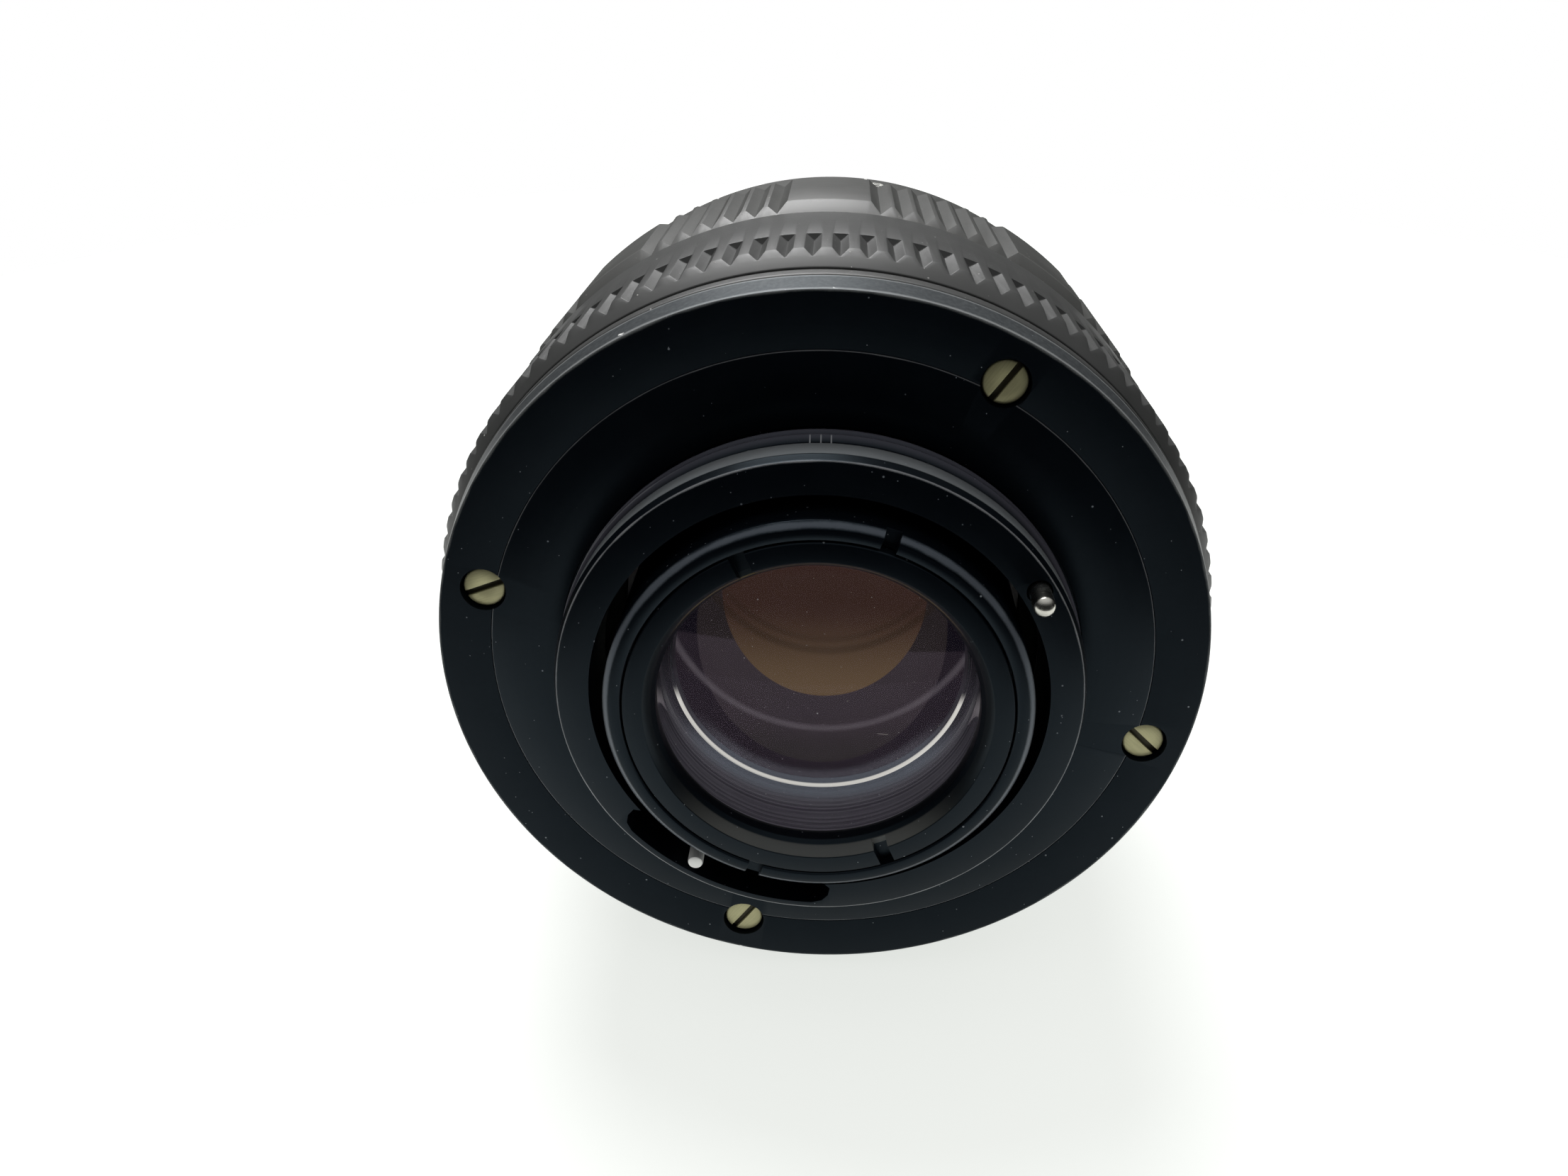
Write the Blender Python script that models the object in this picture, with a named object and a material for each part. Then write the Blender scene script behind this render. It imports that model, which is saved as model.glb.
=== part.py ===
"""Interchangeable 52 mm filter, M42 screw-mount lens lying on its side, as separate pieces.

The optical axis is the Y axis.  The rear (mount) side faces -Y and the front faces +Y.
The origin is on the axis, in the plane of the rear flange face.  Sizes are in millimetres
and are turned into metres when each mesh is made.
"""
import math

import bmesh
import bpy
from mathutils import Matrix, Vector

MM = 0.001

# ---- fits -----------------------------------------------------------------
SEAT_GAP = 0.2        # between pieces that rest on each other
RUNNING_GAP = 0.3     # between pieces that turn or slide past each other
SEAM_GAP = 0.12       # fine seam between two flush faces
SEAT_RELIEF = 0.15    # between a lens element and its cell
HOLE_CLEARANCE = 0.15  # round a pin or ball in its hole

# ---- mount ----------------------------------------------------------------
THREAD_RADIUS = 21.0          # M42 thread crest
THREAD_DEPTH = 0.45
THREAD_PITCH = 1.0
THREAD_TURNS = 2
PILOT_RADIUS = 20.75          # plain band behind the thread
UNDERCUT_DEPTH = 0.25         # groove in the flange face at the foot of the thread
UNDERCUT_MARGIN = 0.15
MOUNT_HEIGHT = 5.2            # thread side stands this far behind the flange
MOUNT_EDGE_CHAMFER = 0.3
MOUNT_BORE_RADIUS = 17.9
PLATE_THICKNESS = 2.0
SCREW_ANGLES = (62.0, 165.6, 256.3, 347.2)
SCREW_SLOT_ANGLES = (54.0, 21.0, 54.0, 136.0)
SCREW_HEAD_RADIUS = 1.68
SCREW_HEAD_THICKNESS = 0.9
SCREW_HEAD_RECESS = 0.4
SCREW_SHANK_RADIUS = 0.8
SCREW_SHANK_LENGTH = 2.2
SCREW_SLOT_WIDTH = 0.5
SCREW_SLOT_DEPTH = 0.4
SCREW_EDGE = 0.15
LINK_SLOT_ANGLES = (-145.0, -86.0)
LINK_SLOT_RADIUS = 19.9

# ---- fixed housing: every ring outside and every barrel inside is set off from the tube --------
HOUSING_TUBE_RADIUS = 28.4
HOUSING_TUBE_WALL = 1.1
HOUSING_LEDGE_THICKNESS = 2.0
FLANGE_RIM = 2.75             # flange edge beyond the tube
BAND_FLARE = 0.45             # side band widens by this from the flange edge
BAND_WIDTH = 2.5
PLATE_INSET = 4.3             # screwed disc ends this far inside the flange edge
SCREW_RING_OFFSET = 0.95      # screws sit this far outside the disc's edge
LEDGE_WIDTH = 1.85            # ledge under the disc's edge
INDEX_RING_WIDTH = 1.5
INDEX_RING_RISE = 0.5
INDEX_SEAT_RISE = 0.8
INDEX_RING_GAP = 0.15

# ---- aperture ring ----------------------------------------------------------
APERTURE_RING_WALL = 4.1
APERTURE_RING_FRONT = 20.7
APERTURE_RING_TAPER = 1.1
APERTURE_CONE_LENGTH = 1.7
APERTURE_NOTCHES = 100
APERTURE_NOTCH_DEPTH = 0.5
APERTURE_NOTCH_END = 11.3
APERTURE_EDGE = 0.35
APERTURE_TURN = 60.0
DRIVE_PIN_Y = 7.0
DRIVE_PIN_ANGLE = 10.0
DRIVE_PIN_RADIUS = 0.8
DRIVE_PIN_REACH = 2.5         # inside the tube's outer face
DRIVE_PIN_HOLD = 1.4          # inside the aperture ring's wall
DRIVE_SLOT_MARGIN = 4.0       # degrees beyond the pin's travel at each end
DETENT_RADIUS = 0.5
DETENT_ANGLE = 150.0
DETENT_Y = 14.0

# ---- focus ring ---------------------------------------------------------------
FOCUS_LAND_RISE = 0.55        # above the aperture ring
FOCUS_NECK_DROP = 1.0
FOCUS_SCALE_DROP = 1.2
FOCUS_CONE_LENGTH = 2.3
FOCUS_GRIP_LENGTH = 15.3
FOCUS_RING_LENGTH = 23.0
FOCUS_EDGE = 0.5
FOCUS_LANDS = 10
FOCUS_LAND_ANGLE = 90.1
FOCUS_RIBS = 6
FOCUS_RIB_PITCH = 3.4
FOCUS_GROOVE_DEPTH = 0.85
FOCUS_GROOVE_FLOOR_SHARE = 0.38
FOCUS_GROOVE_TOP_SHARE = 0.58
FOCUS_LIP_THICKNESS = 1.5
FOCUS_FLANGE_CLEARANCE = 1.5  # bore of the front part beyond the tube's radius
SET_SCREW_COUNT = 3
SET_SCREW_ANGLE = 190.0
SET_SCREW_RADIUS = 0.7
SET_SCREW_SINK = 0.15

# ---- helicoid ------------------------------------------------------------------
BARREL_SETBACK = 7.5          # barrel ends this far behind the focus ring's front
BARREL_WALL = 2.2
BARREL_LAP_REAR = 8.0
BARREL_THREAD_DEPTH = 0.5
RETAINER_THICKNESS = 1.6
RETAINER_RISE = 1.2
HELICOID_WALL = 1.6
HELICOID_REAR = 18.0
HELICOID_FLANGE_THICKNESS = 1.4
KEY_WIDTH = 3.0
KEY_FRONT = 17.0
KEY_REAR = 4.8
KEY_ANGLES = (90.0, 270.0)
KEY_SLOT_DEPTH = 1.2
KEY_SLOT_CLEARANCE = 0.25

# ---- lens block -------------------------------------------------------------------
BLOCK_WALL = 1.9
BLOCK_REAR = 2.6
BLOCK_PROTRUSION = 1.9        # block's front beyond the barrel's
WEB_REAR = 13.2
WEB_THICKNESS = 1.4
WEB_BORE_RADIUS = 13.9
FRONT_BARREL_DROP = 0.8       # below the tube's radius
FRONT_BARREL_LENGTH = 10.2
FRONT_BARREL_EDGE = 0.3
FILTER_WALL = 1.6
FILTER_DEPTH = 4.5
FRONT_SEAT_WIDTH = 1.4
NAME_RING_OFFSET = 2.0
NAME_RING_DEPTH = 3.4
NAME_RING_LIP = 0.4
REAR_CELL_RADIUS = 16.6
REAR_CELL_END = 7.0           # stands this far behind the flange face
REAR_CELL_CHAMFER = 0.5
CELL_NOTCH_WIDTH = 1.2
CELL_NOTCH_DEPTH = 0.9
CELL_NOTCH_ANGLE = 71.5
RETAINING_RING_RADIUS = 15.03
RETAINING_RING_BORE = 13.45
RETAINING_RING_LENGTH = 2.4
RETAINING_BEVEL_WIDTH = 0.5
RETAINING_BEVEL_DEPTH = 0.9
RETAINING_BEVEL_HEEL = 1.3
RETAINING_NOTCH_ANGLE = 113.4
FRONT_CELL_SETBACK = 0.8
FRONT_CELL_LEDGE = 2.2
LENS_LEDGE = 0.3              # ring over the rear element's edge
INNER_LEDGE = 0.5
FRONT_LEDGE = 1.4
FRONT_RING_WIDTH = 0.8

# ---- glass: radii, and places measured from the iris web or from the block's front -------
LENS_1_RADIUS = 18.4
LENS_2_RADIUS = 15.4
LENS_4_RADIUS = 12.0
LENS_6_RADIUS = 12.9
LENS_1_FRONT_RIM = -3.2
LENS_1_SEAT = -8.0
LENS_5_REAR_RIM = -13.0
LENS_4_FRONT_RIM = -5.6

# ---- iris ----------------------------------------------------------------------------
BLADE_COUNT = 6
BLADE_THICKNESS = 0.15
BLADE_LEVEL = 0.3
BLADE_PIVOT_RADIUS = 19.0
BLADE_INNER_RADIUS = 10.8
BLADE_MIDDLE_RADIUS = 15.6
BLADE_HEEL_RADIUS = 20.2
BLADE_STUD_RADIUS = 0.55
BLADE_FLOOR = 0.4
STUD_FLOOR = 0.15
IRIS_CAM_THICKNESS = 0.9
IRIS_COVER_THICKNESS = 0.6
IRIS_COVER_LIP = 1.2
CAM_SLOT_RADII = (17.6, 19.2)
CAM_SLOT_TURN = 24.0

# ---- automatic diaphragm linkage -----------------------------------------------------
PIN_RADIUS = 0.82
PIN_RING_RADIUS = 19.25
PIN_ANGLE = 33.2
PIN_PROTRUSION = 2.8
PIN_DOME_HEIGHT = 0.8
PIN_INNER_END = 6.5
PIN_NECK_SHARE = 0.7
PIN_COLLAR_RADIUS = 1.4
PIN_COLLAR_THICKNESS = 0.8
LINK_POST_RADIUS = 0.65
LINK_POST_RING_RADIUS = 18.75
LINK_POST_ANGLE = -122.5
LINK_POST_END = 5.4
LINK_POST_EDGE = 0.15
LEVER_REAR = 3.2
LEVER_THICKNESS = 0.8
LEVER_RADII = (18.1, 20.1)
LEVER_ANGLES = (-150.0, 18.0)
MECHANISM_PLATE_REAR = 10.3
MECHANISM_PLATE_THICKNESS = 0.8
STANDOFF_RADIUS = 0.6
STANDOFF_RING_RADIUS = 21.0
STANDOFF_ANGLES = (100.0, 205.0, 320.0)
SPRING_TURNS = 5
SPRING_RADIUS = 1.1
SPRING_WIRE_RADIUS = 0.14
SPRING_END_GAP = 0.35

# ---- facets ----------------------------------------------------------------------------
FOCUS_FACETS = 80
OUTER_FACETS = 48
INNER_FACETS = 30
LENS_FACETS = 24
SMALL_FACETS = 10
THROUGH = 1.0                 # how far a cutter runs past a face

# ---- places worked out from the sizes above ---------------------------------------------
FLANGE_RADIUS = HOUSING_TUBE_RADIUS + FLANGE_RIM
BAND_RADIUS = FLANGE_RADIUS + BAND_FLARE
PLATE_RADIUS = FLANGE_RADIUS - PLATE_INSET
SCREW_RING_RADIUS = PLATE_RADIUS + SCREW_RING_OFFSET
HOUSING_LEDGE_RADIUS = PLATE_RADIUS - LEDGE_WIDTH
INDEX_RING_RADIUS = FLANGE_RADIUS + INDEX_RING_RISE
INDEX_SEAT_RADIUS = HOUSING_TUBE_RADIUS + INDEX_SEAT_RISE
INDEX_RING_REAR = BAND_WIDTH + SEAM_GAP
APERTURE_RING_REAR = INDEX_RING_REAR + INDEX_RING_WIDTH + INDEX_RING_GAP
RING_BORE_RADIUS = HOUSING_TUBE_RADIUS + RUNNING_GAP
APERTURE_RING_RADIUS = RING_BORE_RADIUS + APERTURE_RING_WALL
APERTURE_RING_REAR_RADIUS = APERTURE_RING_RADIUS - APERTURE_RING_TAPER
FOCUS_LAND_RADIUS = APERTURE_RING_RADIUS + FOCUS_LAND_RISE
FOCUS_NECK_RADIUS = FOCUS_LAND_RADIUS - FOCUS_NECK_DROP
FOCUS_SCALE_RADIUS = FOCUS_LAND_RADIUS - FOCUS_SCALE_DROP
FOCUS_BORE_FRONT = HOUSING_TUBE_RADIUS + FOCUS_FLANGE_CLEARANCE
FOCUS_RING_REAR = APERTURE_RING_FRONT + RUNNING_GAP
FOCUS_RING_FRONT = FOCUS_RING_REAR + FOCUS_RING_LENGTH
BARREL_FRONT = FOCUS_RING_FRONT - BARREL_SETBACK
BARREL_INNER_RADIUS = HOUSING_TUBE_RADIUS - BARREL_WALL
RETAINER_REAR = BARREL_FRONT - RETAINER_THICKNESS
HELICOID_FLANGE_REAR = BARREL_FRONT + RUNNING_GAP
HELICOID_FLANGE_FRONT = HELICOID_FLANGE_REAR + HELICOID_FLANGE_THICKNESS
PLATE_SEAT = PLATE_THICKNESS + SEAT_GAP
BLOCK_RADIUS = BARREL_INNER_RADIUS - RUNNING_GAP - HELICOID_WALL - RUNNING_GAP
BLOCK_BORE_RADIUS = BLOCK_RADIUS - BLOCK_WALL
BLOCK_FRONT = BARREL_FRONT + BLOCK_PROTRUSION
FRONT_BARREL_RADIUS = HOUSING_TUBE_RADIUS - FRONT_BARREL_DROP
FRONT_BARREL_REAR = BLOCK_FRONT + SEAT_GAP
FRONT_BARREL_FRONT = FRONT_BARREL_REAR + FRONT_BARREL_LENGTH
FILTER_THREAD_RADIUS = FRONT_BARREL_RADIUS - FILTER_WALL
FRONT_BARREL_BORE = FILTER_THREAD_RADIUS - FRONT_SEAT_WIDTH
IRIS_REAR = WEB_REAR + WEB_THICKNESS
BLADE_REAR = IRIS_REAR + BLADE_FLOOR
IRIS_CAM_REAR = BLADE_REAR + BLADE_COUNT * BLADE_LEVEL + RUNNING_GAP
IRIS_COVER_REAR = IRIS_CAM_REAR + IRIS_CAM_THICKNESS + RUNNING_GAP
FRONT_CELL_REAR = IRIS_COVER_REAR + IRIS_COVER_THICKNESS + FRONT_CELL_SETBACK


# ---- materials -----------------------------------------------------------------------------
def material(name, colour, roughness, metallic):
    """A Principled material with one colour."""
    made = bpy.data.materials.new(name)
    made.use_nodes = True
    shader = made.node_tree.nodes["Principled BSDF"]
    shader.inputs["Base Color"].default_value = (*colour, 1.0)
    shader.inputs["Roughness"].default_value = roughness
    shader.inputs["Metallic"].default_value = metallic
    return made


def make_materials():
    """Every finish that the lens uses, by a short key."""
    return {
        "flange": material("black_satin_paint", (0.012, 0.014, 0.018), 0.35, 0.0),
        "ring": material("black_anodised", (0.085, 0.088, 0.09), 0.45, 0.6),
        "worn": material("worn_black_metal", (0.12, 0.125, 0.13), 0.35, 0.8),
        "screw": material("nickel_brass", (0.52, 0.49, 0.33), 0.35, 1.0),
        "steel": material("polished_steel", (0.7, 0.68, 0.64), 0.18, 1.0),
        "brass": material("brass", (0.72, 0.55, 0.25), 0.35, 1.0),
        "blade": material("blued_blade", (0.05, 0.05, 0.055), 0.4, 0.9),
        "alloy": material("plain_aluminium", (0.6, 0.6, 0.6), 0.4, 1.0),
        "glass": material("coated_glass", (0.35, 0.3, 0.38), 0.05, 0.0),
    }


# ---- shapes ----------------------------------------------------------------------------------
def finish(name, shape, surface, location=(0.0, 0.0, 0.0)):
    """Turn a bmesh in millimetres into a smooth-shaded object in metres."""
    bmesh.ops.remove_doubles(shape, verts=shape.verts, dist=1e-4)
    bmesh.ops.recalc_face_normals(shape, faces=shape.faces)
    bmesh.ops.scale(shape, vec=(MM, MM, MM), verts=shape.verts)
    mesh = bpy.data.meshes.new(name)
    shape.to_mesh(mesh)
    shape.free()
    mesh.materials.append(surface)
    mesh.shade_smooth()
    mesh.set_sharp_from_angle(angle=math.radians(28))
    made = bpy.data.objects.new(name, mesh)
    made.location = Vector(location) * MM
    bpy.context.scene.collection.objects.link(made)
    return made


def turned_shape(outline, facets):
    """A bmesh spun round the Y axis from a closed outline of (radius, y) points."""
    shape = bmesh.new()
    verts = [shape.verts.new((radius, y, 0.0)) for radius, y in outline]
    edges = [shape.edges.new(pair) for pair in zip(verts, verts[1:] + verts[:1])
             if pair[0].co.x > 1e-6 or pair[1].co.x > 1e-6]
    bmesh.ops.spin(shape, geom=verts + edges, cent=(0, 0, 0), axis=(0, 1, 0),
                   angle=2 * math.pi, steps=facets, use_merge=True)
    return shape


def turned(name, outline, surface, facets=INNER_FACETS, location=(0.0, 0.0, 0.0)):
    """A turned piece."""
    return finish(name, turned_shape(outline, facets), surface, location)


def ring(name, inner, outer, rear, front, surface, facets=INNER_FACETS):
    """A plain ring of rectangular section."""
    outline = [(inner, rear), (outer, rear), (outer, front), (inner, front)]
    return turned(name, outline, surface, facets)


def polar(radius, degrees, y=0.0):
    """A point at a radius and an angle round the optical axis, seen from the rear."""
    angle = math.radians(degrees)
    return Vector((radius * math.cos(angle), y, radius * math.sin(angle)))


def add_prism(shape, corners, rear, front_of):
    """Extrude a polygon of (x, z) corners along Y; front_of gives the front y of a corner."""
    base = shape.faces.new([shape.verts.new((x, rear, z)) for x, z in corners])
    result = bmesh.ops.extrude_face_region(shape, geom=[base])
    for vert in [item for item in result["geom"] if isinstance(item, bmesh.types.BMVert)]:
        vert.co.y = front_of(vert.co)


def prism(name, corners, rear, front, surface, location=(0.0, 0.0, 0.0)):
    """A piece with one outline in X and Z, extruded along Y."""
    shape = bmesh.new()
    add_prism(shape, corners, rear, lambda point: front)
    return finish(name, shape, surface, location)


def arc(radius, start, end, steps):
    """Corners along an arc round the optical axis, as (x, z)."""
    angles = [start + (end - start) * step / steps for step in range(steps + 1)]
    return [(polar(radius, angle).x, polar(radius, angle).z) for angle in angles]


def sector(inner, outer, start, end, steps):
    """The outline of part of a ring."""
    return arc(inner, start, end, steps) + arc(outer, end, start, steps)


def cutter(name, shape):
    """A hidden shape that a Boolean takes away."""
    made = finish(name, shape, bpy.data.materials["black_anodised"])
    made.hide_render = True
    made.display_type = 'WIRE'
    return made


def cut(target, *cutters):
    """Take each cutter away from the target."""
    for tool in cutters:
        change = target.modifiers.new(tool.name, 'BOOLEAN')
        change.operation = 'DIFFERENCE'
        change.solver = 'EXACT'
        change.object = tool


def rod_cutter(name, radius, rear, front, places, facets=SMALL_FACETS):
    """Round holes along Y at several (x, y, z) places."""
    shape = bmesh.new()
    for place in places:
        outline = arc(radius, 0.0, 360.0 - 360.0 / facets, facets - 1)
        corners = [(x + place.x, z + place.z) for x, z in outline]
        add_prism(shape, corners, rear, lambda point: front)
    return cutter(name, shape)


def bar_cutter(name, length, width, rear, front, angle, centre=(0.0, 0.0)):
    """A straight bar across a piece, for spanner notches and screwdriver slots."""
    shape = bmesh.new()
    turn = Matrix.Rotation(math.radians(angle), 2)
    ends = [(-length, -width), (length, -width), (length, width), (-length, width)]
    corners = [turn @ Vector((x / 2, z / 2)) + Vector(centre) for x, z in ends]
    add_prism(shape, corners, rear, lambda point: front)
    return cutter(name, shape)


def cap(rim_radius, centre_y, rim_y, steps=2):
    """Points of a spherical glass face from the axis out to its rim."""
    height = rim_y - centre_y
    sphere = (rim_radius ** 2 + height ** 2) / (2 * abs(height))
    points = []
    for step in range(steps + 1):
        radius = rim_radius * step / steps
        depth = sphere - math.sqrt(sphere ** 2 - radius ** 2)
        points.append((radius, centre_y + math.copysign(depth, height)))
    return points


def glass(name, radius, datum, rear_face, front_face, surface):
    """One lens element; each face is its (centre, rim) places along Y from the datum."""
    rear = cap(radius, *(datum + place for place in rear_face))
    front = cap(radius, *(datum + place for place in front_face))
    return turned(name, rear + front[::-1], surface, LENS_FACETS)


# ---- fixed pieces -----------------------------------------------------------------------------
def mount_outline():
    """Outline of the mount plate, from its bore round the thread to its disc."""
    points = [(MOUNT_BORE_RADIUS, -MOUNT_HEIGHT),
              (PILOT_RADIUS - MOUNT_EDGE_CHAMFER, -MOUNT_HEIGHT),
              (PILOT_RADIUS, -MOUNT_HEIGHT + 2.5 * MOUNT_EDGE_CHAMFER)]
    thread_start = -(THREAD_TURNS + 0.3) * THREAD_PITCH
    points.append((PILOT_RADIUS, thread_start))
    for turn in range(THREAD_TURNS):
        y = thread_start + turn * THREAD_PITCH
        points += [(THREAD_RADIUS - THREAD_DEPTH, y + 0.1 * THREAD_PITCH),
                   (THREAD_RADIUS, y + 0.4 * THREAD_PITCH),
                   (THREAD_RADIUS, y + 0.6 * THREAD_PITCH)]
    face_start = THREAD_RADIUS + UNDERCUT_MARGIN
    points += [(THREAD_RADIUS - THREAD_DEPTH, UNDERCUT_DEPTH), (face_start, UNDERCUT_DEPTH),
               (face_start, 0.0), (PLATE_RADIUS, 0.0), (PLATE_RADIUS, PLATE_THICKNESS),
               (MOUNT_BORE_RADIUS, PLATE_THICKNESS)]
    return points


def build_mount(surfaces):
    """Mount plate with the camera thread, and the four screws that hold it."""
    plate = turned("mount_plate", mount_outline(), surfaces["flange"], OUTER_FACETS)
    through = (-MOUNT_HEIGHT - THROUGH, PLATE_THICKNESS + THROUGH)
    slot = bmesh.new()
    corners = sector(MOUNT_BORE_RADIUS - THROUGH, LINK_SLOT_RADIUS, *LINK_SLOT_ANGLES, 14)
    add_prism(slot, corners, through[0], lambda point: through[1])
    pin_hole = rod_cutter("pin_hole_cutter", PIN_RADIUS + HOLE_CLEARANCE, *through,
                          [polar(PIN_RING_RADIUS, PIN_ANGLE)])
    places = [polar(SCREW_RING_RADIUS, angle) for angle in SCREW_ANGLES]
    head_floor = SCREW_HEAD_RECESS + SCREW_HEAD_THICKNESS + SEAT_GAP
    recesses = rod_cutter("screw_recess_cutter", SCREW_HEAD_RADIUS + SEAT_GAP, -THROUGH, head_floor,
                          places, facets=LENS_FACETS)
    shank_holes = rod_cutter("screw_hole_cutter", SCREW_SHANK_RADIUS + SEAT_GAP, -THROUGH,
                             head_floor + SCREW_SHANK_LENGTH, places)
    cut(plate, cutter("link_slot_cutter", slot), pin_hole, recesses)
    for number, (place, angle) in enumerate(zip(places, SCREW_SLOT_ANGLES), start=1):
        build_screw(f"mount_screw_{number}", place, angle, surfaces["screw"])
    return recesses, shank_holes


def build_screw(name, place, slot_angle, surface):
    """A slotted screw whose head lies below the flange face."""
    head_front = SCREW_HEAD_RECESS + SCREW_HEAD_THICKNESS
    outline = [(0.0, SCREW_HEAD_RECESS), (SCREW_HEAD_RADIUS - SCREW_EDGE, SCREW_HEAD_RECESS),
               (SCREW_HEAD_RADIUS, SCREW_HEAD_RECESS + SCREW_EDGE), (SCREW_HEAD_RADIUS, head_front),
               (SCREW_SHANK_RADIUS, head_front), (SCREW_SHANK_RADIUS, head_front + SCREW_SHANK_LENGTH),
               (0.0, head_front + SCREW_SHANK_LENGTH)]
    screw = turned(name, outline, surface, facets=LENS_FACETS, location=place)
    slot = bar_cutter(f"{name}_slot_cutter", 3 * SCREW_HEAD_RADIUS, SCREW_SLOT_WIDTH, -THROUGH,
                      SCREW_HEAD_RECESS + SCREW_SLOT_DEPTH, slot_angle, (place.x, place.z))
    cut(screw, slot)


def build_housing(surfaces, recesses, shank_holes):
    """Rear housing with its rim, ledge and tube, and the narrow index ring on it."""
    tube_inner = HOUSING_TUBE_RADIUS - HOUSING_TUBE_WALL
    ledge_front = PLATE_SEAT + HOUSING_LEDGE_THICKNESS
    tube_front = APERTURE_RING_FRONT - SEAT_GAP / 2
    outline = [(PLATE_RADIUS + SEAM_GAP, 0.0), (FLANGE_RADIUS, 0.0), (BAND_RADIUS, BAND_WIDTH),
               (INDEX_SEAT_RADIUS, BAND_WIDTH), (INDEX_SEAT_RADIUS, APERTURE_RING_REAR - RUNNING_GAP),
               (HOUSING_TUBE_RADIUS, APERTURE_RING_REAR - RUNNING_GAP),
               (HOUSING_TUBE_RADIUS, tube_front), (tube_inner, tube_front), (tube_inner, ledge_front),
               (HOUSING_LEDGE_RADIUS, ledge_front), (HOUSING_LEDGE_RADIUS, PLATE_SEAT),
               (PLATE_RADIUS + SEAM_GAP, PLATE_SEAT)]
    housing = turned("rear_housing", outline, surfaces["worn"], OUTER_FACETS)
    drive_slot = bmesh.new()
    corners = sector(tube_inner - THROUGH, HOUSING_TUBE_RADIUS + THROUGH / 2,
                     DRIVE_PIN_ANGLE - DRIVE_SLOT_MARGIN,
                     DRIVE_PIN_ANGLE + APERTURE_TURN + DRIVE_SLOT_MARGIN, 8)
    half_slot = DRIVE_PIN_RADIUS + RUNNING_GAP
    add_prism(drive_slot, corners, DRIVE_PIN_Y - half_slot, lambda point: DRIVE_PIN_Y + half_slot)
    ball_hole = radial_cutter("detent_hole_cutter", DETENT_RADIUS + HOLE_CLEARANCE,
                              tube_inner - THROUGH, HOUSING_TUBE_RADIUS + THROUGH, DETENT_ANGLE,
                              DETENT_Y)
    cut(housing, recesses, shank_holes, cutter("drive_slot_cutter", drive_slot), ball_hole)
    ring("index_ring", INDEX_SEAT_RADIUS + SEAT_GAP, INDEX_RING_RADIUS, INDEX_RING_REAR,
         INDEX_RING_REAR + INDEX_RING_WIDTH, surfaces["ring"], OUTER_FACETS)


def radial_shape(radius, inner, outer, facets=SMALL_FACETS):
    """A bmesh rod along +X from one radius to another."""
    shape = bmesh.new()
    base = shape.faces.new([shape.verts.new((inner, radius * math.cos(step), radius * math.sin(step)))
                            for step in (2 * math.pi * k / facets for k in range(facets))])
    result = bmesh.ops.extrude_face_region(shape, geom=[base])
    for vert in [item for item in result["geom"] if isinstance(item, bmesh.types.BMVert)]:
        vert.co.x = outer
    return shape


def turn_and_shift(shape, angle, y):
    """Turn a shape round the optical axis to an angle, and move it along the axis."""
    bmesh.ops.rotate(shape, verts=shape.verts, cent=(0, 0, 0),
                     matrix=Matrix.Rotation(math.radians(-angle), 3, 'Y'))
    bmesh.ops.translate(shape, verts=shape.verts, vec=(0, y, 0))


def radial_cutter(name, radius, inner, outer, angle, y):
    """A round radial hole."""
    shape = radial_shape(radius, inner, outer)
    turn_and_shift(shape, angle, y)
    return cutter(name, shape)


def radial_rod(name, radius, inner, outer, angle, y, surface):
    """A round radial rod, such as a set screw."""
    shape = radial_shape(radius, inner, outer, facets=12)
    turn_and_shift(shape, angle, y)
    return finish(name, shape, surface)


def build_detent(surfaces):
    """Ball of the aperture ring's click stop."""
    centre = polar(HOUSING_TUBE_RADIUS - HOUSING_TUBE_WALL / 2, DETENT_ANGLE, DETENT_Y)
    shape = bmesh.new()
    bmesh.ops.create_uvsphere(shape, u_segments=12, v_segments=8, radius=DETENT_RADIUS)
    finish("detent_ball", shape, surfaces["steel"], centre)


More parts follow.
